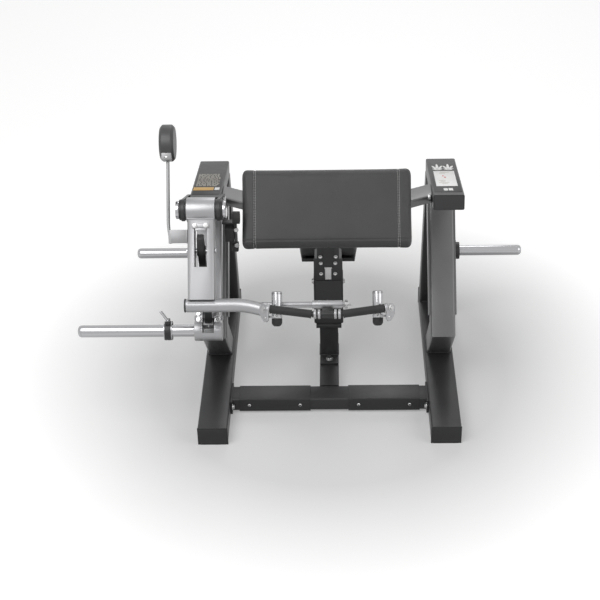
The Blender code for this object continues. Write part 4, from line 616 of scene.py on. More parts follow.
def hex_bolt(radius: float, height: float, washer: float = 0.0, stem: float = 0.0) -> Shape:
    """A hexagon head with a chamfered top, on a washer, pointing along +X.

    The head's radius is the smaller of a hexagon's and that of a turned, chamfered disc.

    Args:
        radius: corner radius of the head.
        height: height of the head over the washer.
        washer: washer radius, or 0 for none.
        stem: length of a thread end that stands out of the head.

    Returns:
        The closed bolt, its underside sunk a little below x = 0.
    """
    base = 0.0016 if washer else 0.0
    flat = radius * 0.84
    profile = [(-0.001, 0), (-0.001, flat), (base, radius), (base + height * 0.8, radius),
               (base + height, flat), (base + height, 0)]
    if stem:
        profile[-1:] = [(base + height, stem * 0.42), (base + height + stem * 0.8, stem * 0.42),
                        (base + height + stem, stem * 0.34), (base + height + stem, 0)]
    head = lathe(profile, 36, hexagon)
    if washer:
        ring = lathe(fillet([(-0.001, 0, 0), (-0.001, washer, 0), (base, washer, 0.0005),
                             (base, 0, 0)], 2), 32)
        head = head + ring
    return head


def cap_screw(radius: float, height: float) -> Shape:
    """A domed screw head with a hexagon socket, pointing along +X.

    Args:
        radius: the head's radius.
        height: how high its dome would be.

    Returns:
        The head.
    """
    socket = radius * 0.48
    dome = [(height * math.sin(a), radius * math.cos(a)) for a in np.linspace(0, 1.05, 7)]
    profile = [(-0.001, 0), (-0.001, radius)] + dome + [(dome[-1][0], socket),
                                                         (height * 0.30, socket * 0.96),
                                                         (height * 0.30, 0)]
    return lathe(profile, 30)


def bead(path: np.ndarray, radius: float, pitch: float = 0.0035, closed: bool = False) -> Shape:
    """A weld bead: a round section along a path, its size rippled once each pitch.

    Args:
        path: coarse points of the seam.
        radius: bead radius.
        pitch: length of a ripple.
        closed: the seam returns to its start.

    Returns:
        The bead.
    """
    path = np.asarray(path, dtype=float)
    if closed:
        path = np.vstack([path, path[:1]])
    steps = np.linalg.norm(np.diff(path, axis=0), axis=1)
    distance = np.concatenate([[0], np.cumsum(steps)])
    count = max(8, int(distance[-1] / (pitch / 2)))
    places = np.linspace(0, distance[-1], count, endpoint=not closed)
    fine = np.stack([np.interp(places, distance, path[:, a]) for a in range(3)], axis=1)
    ripple = 1 + 0.10 * np.sin(TAU * places / pitch)
    drift = np.ptp(path, axis=0)
    side = (0.577, 0.577, 0.577) if drift.min() > 1e-4 else np.eye(3)[int(np.argmin(drift))]
    return sweep(fine, disc_section(radius, 8), side, closed, ripple)


def linked(name: str, data: Any) -> bpy.types.Object:
    """A new object in the scene around a mesh, a camera or a lamp.

    Args:
        name: the object's name.
        data: what it shows.

    Returns:
        The object.
    """
    obj = bpy.data.objects.new(name, data)
    bpy.context.scene.collection.objects.link(obj)
    return obj


def raw_mesh(name: str, shape: Shape) -> bpy.types.Mesh:
    """A mesh with a shape's points and faces.

    Args:
        name: the mesh's name.
        shape: its surface.

    Returns:
        The mesh.
    """
    mesh = bpy.data.meshes.new(name)
    mesh.from_pydata(shape.points.tolist(), [], [row for rows in shape.faces for row in rows.tolist()])
    return mesh


class Dresser:
    """Puts shapes into the scene as pieces that ride on the machine's bodies."""

    def __init__(self, shop: FinishShop) -> None:
        """Keep the shop that makes the materials."""
        self.shop = shop

    def piece(self, name: str, shape: Shape, finish: Finish, body: Body,
              replaces: Sequence[str] = (), smooth: float = 32.0) -> bpy.types.Object:
        """Make a piece from a shape.

        Args:
            name: the piece's name.
            shape: its surface.
            finish: its material.
            body: what it rides on.
            replaces: CAD nodes that it stands for.
            smooth: edges sharper than this many degrees stay sharp.

        Returns:
            The new object.
        """
        mesh = raw_mesh(name, shape)
        self.tidy(mesh)
        return self.dress(linked(name, mesh), finish, body, replaces, smooth)

    @staticmethod
    def tidy(mesh: bpy.types.Mesh, turn_outwards: bool = True) -> None:
        """Merge doubled points, drop empty faces and point the rest outwards.

        Args:
            mesh: the mesh to tidy.
            turn_outwards: point its faces outwards.
        """
        bm = bmesh.new()
        bm.from_mesh(mesh)
        bmesh.ops.remove_doubles(bm, verts=bm.verts, dist=MERGE)
        bmesh.ops.dissolve_degenerate(bm, dist=MERGE, edges=bm.edges)
        if turn_outwards:
            bmesh.ops.recalc_face_normals(bm, faces=bm.faces)
        bm.to_mesh(mesh)
        bm.free()

    @staticmethod
    def flatten(mesh: bpy.types.Mesh) -> None:
        """Join coplanar triangles into whole faces, so that a bevel runs cleanly.

        Args:
            mesh: the mesh to join faces in.
        """
        bm = bmesh.new()
        bm.from_mesh(mesh)
        bmesh.ops.dissolve_limit(bm, angle_limit=FLAT_ANGLE, verts=bm.verts, edges=bm.edges)
        bm.to_mesh(mesh)
        bm.free()

    def dress(self, obj: bpy.types.Object, finish: Finish, body: Body,
              replaces: Sequence[str] = (), smooth: float = 32.0) -> bpy.types.Object:
        """Give an object its finish, its body and the nodes that it replaces.

        Args:
            obj: a mesh object at the origin.
            finish: its material.
            body: what it rides on.
            replaces: CAD nodes that it stands for.
            smooth: edges sharper than this many degrees stay sharp.

        Returns:
            The same object.
        """
        mesh = obj.data
        mesh.materials.clear()
        mesh.materials.append(self.shop.material(finish))
        mesh.shade_smooth()
        mesh.set_sharp_from_angle(angle=math.radians(smooth))
        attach(obj, body.value)
        if replaces:
            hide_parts(*replaces)
        LOG.info("%s on %s", obj.name, body.value)
        return obj

    def eased(self, node: str, finish: Finish, body: Body, edge: float = 0.0012) -> None:
        """Stand for a CAD node with a copy whose loose triangles are merged and edges eased.

        Args:
            node: the CAD node.
            finish: its material.
            body: the body that it belongs to.
            edge: bevel width.
        """
        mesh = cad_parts[node].data.copy()
        self.tidy(mesh, turn_outwards=False)
        self.flatten(mesh)
        obj = linked(node + "_eased", mesh)
        bevel = obj.modifiers.new("ease", "BEVEL")
        bevel.width = edge
        bevel.segments = 2
        bevel.limit_method = "ANGLE"
        bevel.angle_limit = BEVEL_ANGLE
        bevel.use_clamp_overlap = True
        bevel.harden_normals = True
        self.dress(obj, finish, body, (node,), 34.0)


CLOTH = {"use_pressure": True, "uniform_pressure_force": 4.0, "tension_stiffness": 40.0,
         "compression_stiffness": 40.0, "bending_stiffness": 6.0, "quality": 5}
CLOTH_STEPS = 20


@dataclass
class Pad:
    """An upholstered pad: a foam block in a sewn vinyl cover, over a board.

    Sizes are the finished pad's; the foam starts smaller by swell on every side and is
    blown up against that limit. reach is how far the rounding takes along X, Y and Z,
    seams are places along X where panels meet, and front_seam one along Y, on the top.
    """

    width: float
    length: float
    thickness: float
    reach: Triple = (0.018, 0.029, 0.026)
    swell: float = 0.003
    swell_cap: float = 1.6
    crown: float = 0.004
    tuck: float = 0.004
    taper: float = 0.0
    seams: tuple[float, ...] = ()
    front_seam: float | None = None
    seam_depth: float = 0.0022
    seam_reach: float = 0.0032
    front_share: float = 0.7
    pucker: float = 0.18
    pucker_pitch: tuple[float, float] = (0.011, 0.013)
    voxel: float = 0.0055
    stitch_pitch: float = 0.0062
    stitch_gap: float = 0.0033
    thread: float = 0.0010

    def foam(self) -> Shape:
        """The slack pad: a rounded block whose top is crowned and whose sides draw in.

        The crown is a product of two parabolas over the top, and the waist a parabola
        over the thickness; a taper narrows the front end.

        Returns:
            The closed surface, centred on the origin with its top at +Z.
        """
        size = np.array((self.width, self.length, self.thickness)) - 2 * self.swell
        shape = block(tuple(size), self.reach, 6, 0.012)
        p = shape.points
        half = size / 2
        spread = np.clip(1 - (p[:, 0] / half[0]) ** 2, 0, 1) * np.clip(1 - (p[:, 1] / half[1]) ** 2, 0, 1)
        waist = np.clip(1 - (p[:, 2] / half[2]) ** 2, 0, 1)
        p[:, 2] += np.where(p[:, 2] > 0, self.crown * spread * p[:, 2] / half[2], 0)
        p[:, 0] *= 1 - self.tuck * waist
        p[:, 1] *= 1 - self.tuck * waist * self.width / self.length
        p[:, 0] *= 1 - self.taper * (0.5 - p[:, 1] / size[1])
        return shape

    def build(self, name: str, dresser: Dresser, place: Matrix) -> bpy.types.Object:
        """Make the cover: remesh the foam, blow it up, draw in its seams and place it.

        Args:
            name: the piece's name.
            dresser: used to tidy the mesh.
            place: the pad's place in the frame.

        Returns:
            The new object, its place in its mesh, without a material.
        """
        mesh = raw_mesh(name, self.foam())
        dresser.tidy(mesh)
        obj = linked(name, mesh)
        remesh = obj.modifiers.new("even", "REMESH")
        remesh.mode = "VOXEL"
        remesh.voxel_size = self.voxel
        self._apply(obj)
        self._blow_up(obj)
        finer = obj.modifiers.new("finer", "SUBSURF")
        finer.levels = finer.render_levels = 1
        self._apply(obj)
        self._draw_seams(obj.data)
        obj.data.transform(place)
        return obj

    @staticmethod
    def _apply(obj: bpy.types.Object) -> None:
        """Apply the object's modifiers to its mesh.

        Args:
            obj: the object.
        """
        bpy.context.view_layer.update()
        graph = bpy.context.evaluated_depsgraph_get()
        mesh = bpy.data.meshes.new_from_object(obj.evaluated_get(graph))
        obj.modifiers.clear()
        obj.data = mesh

    def _blow_up(self, obj: bpy.types.Object) -> None:
        """Inflate the cover with cloth under pressure and cap how far its points move.

        Args:
            obj: the slack cover.
        """
        before = self._read(obj.data, "co")
        cloth = obj.modifiers.new("cover", "CLOTH")
        for setting, value in CLOTH.items():
            setattr(cloth.settings, setting, value)
        cloth.settings.effector_weights.gravity = 0.0
        cloth.collision_settings.use_collision = False
        scene = bpy.context.scene
        for step in range(1, CLOTH_STEPS + 1):
            scene.frame_set(step)
        self._apply(obj)
        scene.frame_set(1)
        move = self._read(obj.data, "co") - before
        move -= move.mean(axis=0)
        length = np.linalg.norm(move, axis=1, keepdims=True)
        cap = self.swell * self.swell_cap
        moved = before + move * cap * np.tanh(length / cap) / np.maximum(length, 1e-9)
        half = np.array((self.width, self.length, self.thickness)) / 2
        moved[:, :2] *= half[:2] / np.abs(moved[:, :2]).max(axis=0)
        half[2] += self.crown
        moved = np.clip(moved, -half, half)
        obj.data.vertices.foreach_set("co", moved.ravel())
        obj.data.update()

    @staticmethod
    def _read(mesh: bpy.types.Mesh, what: str) -> np.ndarray:
        """The mesh's points ("co") or their normals ("normal"), (n, 3).

        Args:
            mesh: where to read.
            what: "co" or "normal".

        Returns:
            The table.
        """
        flat = np.empty(len(mesh.vertices) * 3)
        mesh.vertices.foreach_get(what, flat)
        return flat.reshape(-1, 3)

    def _draw_seams(self, mesh: bpy.types.Mesh) -> None:
        """Draw the cover in along its seams: a bell-shaped groove along the normals.

        Args:
            mesh: the cover's mesh.
        """
        points, normals = self._read(mesh, "co"), self._read(mesh, "normal")
        depth = np.zeros(len(points))
        for seam in self.seams:
            depth += np.exp(-((points[:, 0] - seam) / self.seam_reach) ** 2)
        if self.front_seam is not None:
            top = (points[:, 2] > 0) * np.exp(-((points[:, 1] - self.front_seam) / self.seam_reach) ** 2)
            depth += self.front_share * top
        along, across = self.pucker_pitch
        waves = np.sin(TAU * points[:, 1] / along) * np.sin(TAU * points[:, 0] / across)
        puckers = 1 + self.pucker * waves
        points -= normals * (self.seam_depth * np.clip(depth, 0, 1) * puckers)[:, None]
        mesh.vertices.foreach_set("co", points.ravel())
        mesh.update()

    def stitches(self, cover: bpy.types.Object, place: Matrix) -> Shape:
        """Sewn thread beside each panel seam, over the top and down both long sides.

        Each stitch is a short round bar that follows the section of the pad and lies on
        the cover's nearest face.

        Args:
            cover: the finished cover.
            place: the pad's place in the frame.

        Returns:
            All the stitches, in the frame.
        """
        skin = BVHTree.FromPolygons([v.co for v in cover.data.vertices],
                                    [p.vertices for p in cover.data.polygons])
        section, size = disc_section(self.thread, 6), np.array((0.35, 1.0, 1.0, 0.35))
        pitch = self.stitch_pitch
        bars = []
        for x in [seam + side * self.stitch_gap for seam in self.seams for side in (-1, 1)]:
            loop = self._section_path(x)
            steps = np.linalg.norm(np.diff(loop, axis=0), axis=1)
            distance = np.concatenate([[0], np.cumsum(steps)])
            for start in np.arange(0.004, distance[-1] - pitch, pitch):
                places = start + np.linspace(0, pitch * 0.66, 4)
                path = np.stack([np.interp(places, distance, loop[:, a]) for a in range(3)], axis=1)
                found = [skin.find_nearest(place @ Vector(spot)) for spot in path]
                path = np.array([spot + normal * self.thread * 0.5 for spot, normal, *_ in found])
                bars.append(sweep(path, section, (1, 0, 0), False, size))
        return total(bars)

    def _section_path(self, x: float) -> np.ndarray:
        """The pad's section at x, from the lower front edge over the top to the rear.

        Args:
            x: where the section lies.

        Returns:
            Its points.
        """
        half_y = self.length / 2 - 0.0007
        half_z = self.thickness / 2
        roll, lip = self.reach[1:]
        angles = np.linspace(math.pi, math.pi / 2, 9)
        ys = np.linspace(-half_y + roll, half_y - roll, 25)[1:-1]
        y = np.concatenate([-half_y + roll + roll * np.cos(angles), ys])
        z = np.concatenate([half_z - lip + lip * np.sin(angles), np.full(len(ys), half_z)])
        y = np.concatenate([[-half_y], y, half_y - roll - roll * np.cos(angles[::-1]), [half_y]])
        z = np.concatenate([[-half_z + lip], z, half_z - lip + lip * np.sin(angles[::-1]),
                            [-half_z + lip]])
        spread = max(0.0, 1 - (2 * x / self.width) ** 2)
        z += self.crown * spread * (1 - (y / half_y) ** 2) * (z > 0)
        return np.column_stack([np.full(len(y), x), y, z])


@dataclass
class Upholstery:
    """The arm pad and the seat pad, each over its board."""

    slope: float = math.radians(49.9)
    arm_length: float = 0.304
    arm_thickness: float = 0.062
    seam: float = 0.272
    front_seam: float = -0.124
    lift: float = 0.0373
    seat_crown: float = 0.009
    smooth: float = 80.0

    def build(self, dresser: Dresser) -> None:
        """Make both pads, with their stitching."""
        self._arm_pad(dresser)
        self._seat_pad(dresser)

    def _arm_pad(self, dresser: Dresser) -> None:
        """The wide arm pad on its slope, with a seamed panel at each end.

        Args:
            dresser: makes the pieces.
        """
        low, high = box_of("arm_pad")
        pad = Pad(width=high[0] - low[0] - 0.001, length=self.arm_length, thickness=self.arm_thickness,
                  seams=(-self.seam, self.seam), front_seam=self.front_seam)
        place = turn_x(self.slope, centre_of("pad_backboard")) @ Matrix.Translation((0, 0, self.lift))
        cover = pad.build("arm_pad_cover", dresser, place)
        dresser.dress(cover, VINYL, Body.FRAME, ("arm_pad",), self.smooth)
        dresser.piece("arm_pad_stitching", pad.stitches(cover, place), THREAD, Body.FRAME, smooth=60.0)

    def _seat_pad(self, dresser: Dresser) -> None:
        """The seat pad, narrower at the front.

        Args:
            dresser: makes the pieces.
        """
        low, high = box_of("seat_pad")
        width, length, thickness = high - low
        pad = Pad(width=width, length=length, thickness=thickness - self.seat_crown,
                  reach=(0.020, 0.020, 0.018), crown=self.seat_crown, tuck=0.010, taper=0.24,
                  voxel=0.005)
        centre = centre_of("seat_pad")
        centre[2] = low[2] + pad.thickness / 2
        cover = pad.build("seat_pad_cover", dresser, Matrix.Translation(centre))
        dresser.dress(cover, VINYL, Body.SEAT, ("seat_pad",), self.smooth)


def box_of(node: str) -> tuple[np.ndarray, np.ndarray]:
    """A CAD node's lowest and highest corners as arrays."""
    low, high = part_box(node)
    return np.array(low), np.array(high)


def centre_of(node: str) -> np.ndarray:
    """The middle of a CAD node's box."""
    return sum(box_of(node)) / 2


def ring(start: float, end: float, inner: float, outer: float, edge: float = 0.0006,
         sides: int = 48) -> Shape:
    """A turned ring along X whose outer rims are eased."""
    profile = fillet([(start, inner, 0), (start, outer, edge), (end, outer, edge), (end, inner, 0)], 3)
    return lathe(profile + profile[:1], sides)


def rod(start: float, end: float, radius: float, edge: float = 0.0006, sides: int = 40) -> Shape:
    """A round bar along X whose rims are eased."""
    return lathe(fillet([(start, 0, 0), (start, radius, edge), (end, radius, edge), (end, 0, 0)], 3), sides)


def mirrored_ring(hand: int, near: float, far: float, *values: float) -> Shape:
    """A ring between two distances from the middle, on the side that hand gives.

    Args:
        hand: -1 or 1.
        near: the nearer end's distance.
        far: the farther end's distance.
        values: the ring's radii, edge and sides.

    Returns:
        The ring.
    """
    return ring(*sorted((hand * near, hand * far)), *values)


def plate_box(size: Triple, place: Sequence[float], edge: float = 0.0008) -> Shape:
    """A plate with eased edges at a place."""
    return block(size, edge).at(place)


@dataclass
class Layout:
    """Where the machine's main lines lie: the frame's places and the drawing's angles."""

    datum: Vector
    lever_tilt: float = math.radians(34.5)
    arm_tilt: float = math.radians(45.0)
    beam_rise: float = math.radians(11.5)
    side_x: float = 0.467
    beam_width: float = 0.120
    beam_front: tuple[float, float] = (0.318, 0.961)
    rod_reach: float = 0.456

    def __post_init__(self) -> None:
        """Work out the frames that the groups are drawn in."""
        self.lever = turn_x(-self.lever_tilt, centre_of("elbow_pivot_shaft"))
        nut = centre_of("bar_end_nut")
        self.yoke = turn_x(-self.lever_tilt, (self.datum.x, nut[1], nut[2]))
        self.arm = turn_x(-self.arm_tilt, centre_of("weight_arm_pin"))
        pin = Vector(centre_of("rod_pin"))
        run = self.arm @ Vector((0, 0, -self.rod_reach)) - pin
        self.rod = turn_x(math.atan2(run.y, -run.z), pin)
        self.rod_length = run.length
        horn = centre_of("weight_horn")
        self.horn = Matrix.Translation((self.datum.x, horn[1], horn[2]))

    def beam(self, sign: int) -> Matrix:
        """The top of a beam: X across, Y back from its front edge, Z off its face."""
        place = self.datum + Vector((sign * self.side_x, *self.beam_front))
        return turn_x(-self.beam_rise, place)


@dataclass
class FrameWork:
    """The welded tubes and plates, the floor rails and their fittings."""

    tubes: tuple[str, ...] = ("base_rail", "rear_leg", "top_beam")
    painted_light_tubes: tuple[str, ...] = ("front_leg", "cross_arm")
    tube_edge: float = 0.0012

    def build(self, dresser: Dresser) -> None:
        """Dress the plain painted nodes of every body.

        Args:
            dresser: makes the pieces.
        """
        for side in ("left", "right"):
            for part in self.tubes:
                dresser.eased(side + "_" + part, GRAPHITE, Body.FRAME, self.tube_edge)
            # The front legs and cross arms take the lighter graphite copy: painted light.
            for part in self.painted_light_tubes:
                dresser.eased(side + "_" + part, LIT_GRAPHITE, Body.FRAME, self.tube_edge)
            for part in ("front_cap", "rear_cap", "cross_cover", "storage_flange"):
                dresser.eased(side + "_" + part, PLASTIC, Body.FRAME, 0.0008)
        for node in ("front_cross_member", "centre_base_tube", "lower_column", "seat_sleeve",
                     "outer_fork_cheek", "inner_fork_cheek", "weight_arm_hanger"):
            dresser.eased(node, GRAPHITE, Body.FRAME, 0.0010)
        dresser.eased("pad_backboard", PLASTIC, Body.FRAME, 0.002)
        dresser.eased("weight_arm_pin", STEEL, Body.FRAME, 0.0008)
        dresser.eased("seat_post", GRAPHITE, Body.SEAT, 0.0010)
        dresser.eased("seat_board", PLASTIC, Body.SEAT, 0.002)
        # The release tab takes the lighter zinc copy: painted light.
        dresser.eased("seat_release_tab", LIT_ZINC, Body.RELEASE, 0.0006)


@dataclass
class Group:
    """A sub-assembly that is drawn in its own coordinates and rides on one body."""

    body: ClassVar[Body] = Body.FRAME

    def start(self, dresser: Dresser, place: Matrix) -> None:
        """Keep what makes the pieces, and the place that they are drawn at."""
        self.dresser, self.place = dresser, place

    def piece(self, name: str, shape: Shape, finish: Finish, *nodes: str,
              body: Body | None = None, place: Matrix | None = None) -> None:
        """Make a piece that is drawn in the group's coordinates.

        Args:
            name: the piece's name.
            shape: its surface.
            finish: its material.
            nodes: CAD nodes that it stands for.
            body: what it rides on, where that isn't the group's own body.
            place: where it is drawn, where that isn't the group's own place.
        """
        shape = shape.placed(self.place if place is None else place)
        self.dresser.piece(name, shape, finish, body or self.body, nodes)


@dataclass
class LeverGroup(Group):
    """The user's lever: hub, slotted tube, clamp, bent bar and counterweight.

    Its coordinates: X from the middle of the tube, -Y towards the grips, -Z down the tube.
    """

    body: ClassVar[Body] = Body.LEVER
    width: float = 0.100
    depth: float = 0.060
    hub_radius: float = 0.0463
    hub_width: float = 0.1062
    hub_weld: float = 0.0028
    bore_gap: float = 0.001
    shaft_radius: float = 0.020
    retainer_radius: float = 0.034
    retainer_length: float = 0.013
    retainer_recess: float = 0.0075
    retainer_bolt: BoltSize = (0.016, 0.006, 0.022)
    round_sides: int = 72
    boss_cover_x: float = 0.0705
    boss_cover_half: float = 0.010
    boss_cover_radius: float = 0.0388
    bar_drop: float = 0.357
    bar_radius: float = 0.0252
    bar_span: tuple[float, float] = (-0.059, 0.231)
    bar_weld_y: float = 0.0235
    bar_weld: float = 0.0026
    plug_radius: float = 0.0258
    plug_recess: float = 0.018
    shaft_nut: BoltSize = (0.0165, 0.009, 0.0175, 0.014)
    bend_start: float = 0.122
    bend: Triple = (0.0, -0.014, -0.020)
    shaft_end: float = 0.531
    thin_shaft_radius: float = 0.0111
    slot_top: float = 0.054
    clamp_drop: float = 0.008
    clamp_plate: Triple = (0.063, 0.008, 0.016)
    clamp_tongue: Triple = (0.040, 0.012, 0.010)
    clamp_edge: float = 0.0012
    clamp_stud_x: float = 0.0205
    clamp_nut: BoltSize = (0.0078, 0.006, 0.0095, 0.006)
    pin_drop: float = 0.153
    pin_radius: float = 0.0070
    pin_reach: float = 0.0052
    pin_head_radius: float = 0.0100
    weight_x: float = -0.123
    weight_rise: float = 0.250
    weight_radius: float = 0.069
    weight_width: float = 0.054
    weight_chamfer: tuple[float, float] = (0.009, 0.010)
    weight_clamp: Triple = (0.038, 0.054, 0.036)
    weight_clamp_drop: float = 0.051
    clamp_screw: tuple[float, float] = (0.0065, 0.004)
    stem: tuple[tuple[float, float], ...] = ((0.007, -0.125), (0.006, -0.098), (0.002, -0.075),
                                             (0.0, -0.050), (0.0, 0.02), (0.0, 0.12), (0.0, 0.240))
    stem_half: tuple[float, float] = (0.0192, 0.0042)
    stem_edge: tuple[float, float] = (0.0007, 0.0008)
    bracket_height: float = 0.050
    bracket_z: float = -0.100
    bracket_thickness: tuple[float, float] = (0.006, 0.008)
    bracket_foot: float = 0.036

    def build(self, dresser: Dresser, layout: Layout) -> None:
        """Make the lever's pieces.

        Args:
            dresser: makes the pieces.
            layout: gives the lever's frame.
        """
        self.start(dresser, layout.lever)
        dresser.eased("lever_arm", SILVER, self.body, 0.0010)
        self._pivot()
        self._clamp()
        self._bar()
        self._counterweight()

    def _welds(self, name: str, across: float, height: float, radius: float) -> None:
        """A bead across the tube's width on its front and its rear, at a height."""
        seam = np.linspace(-self.width / 2, self.width / 2, 12)
        for end, hand in (("front", -1), ("rear", 1)):
            path = np.column_stack([seam, np.full(12, hand * across), np.full(12, height)])
            self.piece(name + "_weld_" + end, bead(path, radius), SILVER)

    def _pivot(self) -> None:
        """The turned hub sleeve, its weld, and the shaft with a retainer at each end."""
        half = self.hub_width / 2
        bore = self.shaft_radius + self.bore_gap
        self.piece("hub_sleeve", ring(-half, half, bore, self.hub_radius, 0.0022, 96), SILVER)
        foot = -math.sqrt(self.hub_radius ** 2 - (self.depth / 2) ** 2)
        self._welds("hub", self.depth / 2, foot, self.hub_weld)
        low, high = box_of("elbow_pivot_shaft")
        reach = (high[0] - low[0]) / 2
        shaft = rod(-reach + 0.002, reach - 0.002, self.shaft_radius - 0.0002)
        for hand in (-1, 1):
            shaft += mirrored_ring(hand, reach - self.retainer_length, reach, self.shaft_radius * 0.6,
                                   self.retainer_radius, 0.0025, self.round_sides)
            face = (hand * (reach - self.retainer_recess), 0, 0)
            shaft += hex_bolt(*self.retainer_bolt).placed(aim((hand, 0, 0), face))
        self.piece("pivot_shaft", shaft, STEEL, "elbow_pivot_shaft", body=Body.FRAME)
        inner, outer = self.boss_cover_x - self.boss_cover_half, self.boss_cover_x + self.boss_cover_half
        covers = total(mirrored_ring(hand, inner, outer, bore, self.boss_cover_radius, 0.0015,
                                     self.round_sides) for hand in (-1, 1))
        self.piece("cheek_boss_covers", covers, BLACK_COAT, body=Body.FRAME)

    def _clamp(self) -> None:
        """The plate across the top of the slot, its two nuts on studs, and the rod's pin."""
        front = -self.depth / 2
        middle = -self.slot_top - self.clamp_drop
        plate = plate_box(self.clamp_plate, (0, front - 0.0045, middle), self.clamp_edge)
        plate += plate_box(self.clamp_tongue, (0, front - 0.002, middle - 0.014), self.clamp_edge)
        self.piece("slot_clamp_plate", plate, SILVER, "slot_clamp")
        studs = [(hand * self.clamp_stud_x, front - 0.0085, middle) for hand in (-1, 1)]
        nuts = total(hex_bolt(*self.clamp_nut).placed(aim(FORWARD, spot)) for spot in studs)
        self.piece("slot_clamp_nuts", nuts, ZINC)
        half = self.width / 2
        end = half + self.pin_reach
        pin = rod(-end, end, self.pin_radius)
        for hand in (-1, 1):
            pin += mirrored_ring(hand, half + 0.0003, end, 0.002, self.pin_head_radius)
        self.piece("rod_pivot_pin", pin.at((0, 0, -self.pin_drop)), STEEL, "rod_pin")

    def _bar(self) -> None:
        """The cross bar, bent at its right end, with a thin shaft, end plug, weld and nut."""
        start, end = self.bar_span
        radius, drop = self.bar_radius, (0, 0, -self.bar_drop)
        profile = [(start, 0), (start, radius - 0.001), (start + 0.001, radius)]
        profile += [(x, radius) for x in np.linspace(start + 0.01, end - 0.004, 40)]
        profile += [(end - 0.0012, radius - 0.0012), (end, radius - 0.004), (end, 0)]
        bar = lathe(profile, 64)
        share = np.clip((bar.points[:, :1] - self.bend_start) / (end - self.bend_start), 0, None)
        bar.points += share ** 2 * np.array(self.bend)
        bar += rod(self.bend_start, self.shaft_end, self.thin_shaft_radius)
        self.piece("cross_bar", bar.at(drop), SILVER, "lever_bar")
        plug = ring(start - 0.006, start - 0.0003, 0.004, self.plug_radius, 0.0018)
        plug += rod(start - 0.0052, start - 0.001, self.plug_recess, 0.001)
        self.piece("cross_bar_plug", plug.at(drop), PLASTIC, "bar_end_cap")
        nut = hex_bolt(*self.shaft_nut).at((self.shaft_end + 0.0013, 0, 0))
        self.piece("shaft_nut", nut.at(drop), ZINC, "bar_end_nut")
        lift = math.sqrt(radius ** 2 - self.bar_weld_y ** 2) - self.bar_drop
        self._welds("bar", self.bar_weld_y, lift, self.bar_weld)

    def _counterweight(self) -> None:
        """A bent flat bar on a bracket, with a turned weight clamped to its top."""
        path = np.array([(lean + self.weight_x, 0, height) for lean, height in self.stem])
        (wide, deep), (edge_u, edge_v) = self.stem_half, self.stem_edge
        near, far = (wide - edge_u, deep), (wide, deep - edge_v)
        signs = ((-1, -1), (1, -1), (1, -1), (1, 1), (1, 1), (-1, 1), (-1, 1), (-1, -1))
        flat = np.array([near, near, far, far] * 2) * signs
        bar = sweep(path, flat, (0, 1, 0))
        inner = -self.width / 2 - 0.0003
        arm = inner - self.weight_x - 0.004
        foot, web = self.bracket_thickness
        bar += plate_box((arm, web, self.bracket_height), (inner - arm / 2, -0.015, self.bracket_z))
        bar += plate_box((foot, self.bracket_foot, self.bracket_height),
                         (inner - foot / 2, -0.004, self.bracket_z))
        # The stem and its bracket take the darker silver copy: painted shade.
        self.piece("weight_stem", bar, SHADED_SILVER, "counterweight_bar")
        half, radius = self.weight_width / 2, self.weight_radius
        along, inwards = self.weight_chamfer
        side = [(half, 0, 0), (half, radius - inwards, 0.002), (half - along, radius, 0.003)]
        section = fillet([(-x, r, edge) for x, r, edge in side] + side[::-1], 4)
        disc = lathe(section, 96).at((self.weight_x, 0, self.weight_rise))
        self.piece("counterweight", disc, CAST, "counterweight_disc")
        clamp_z = self.weight_rise - self.weight_clamp_drop
        clamp = plate_box(self.weight_clamp, (self.weight_x, -self.weight_clamp[1] / 2, clamp_z), 0.003)
        # The weight clamp takes the darker silver copy: painted shade.
        self.piece("weight_clamp", clamp, SHADED_SILVER)
        spot = (self.weight_x, -0.0535, clamp_z - 0.006)
        self.piece("weight_clamp_screw", cap_screw(*self.clamp_screw).placed(aim(FORWARD, spot)), ZINC)


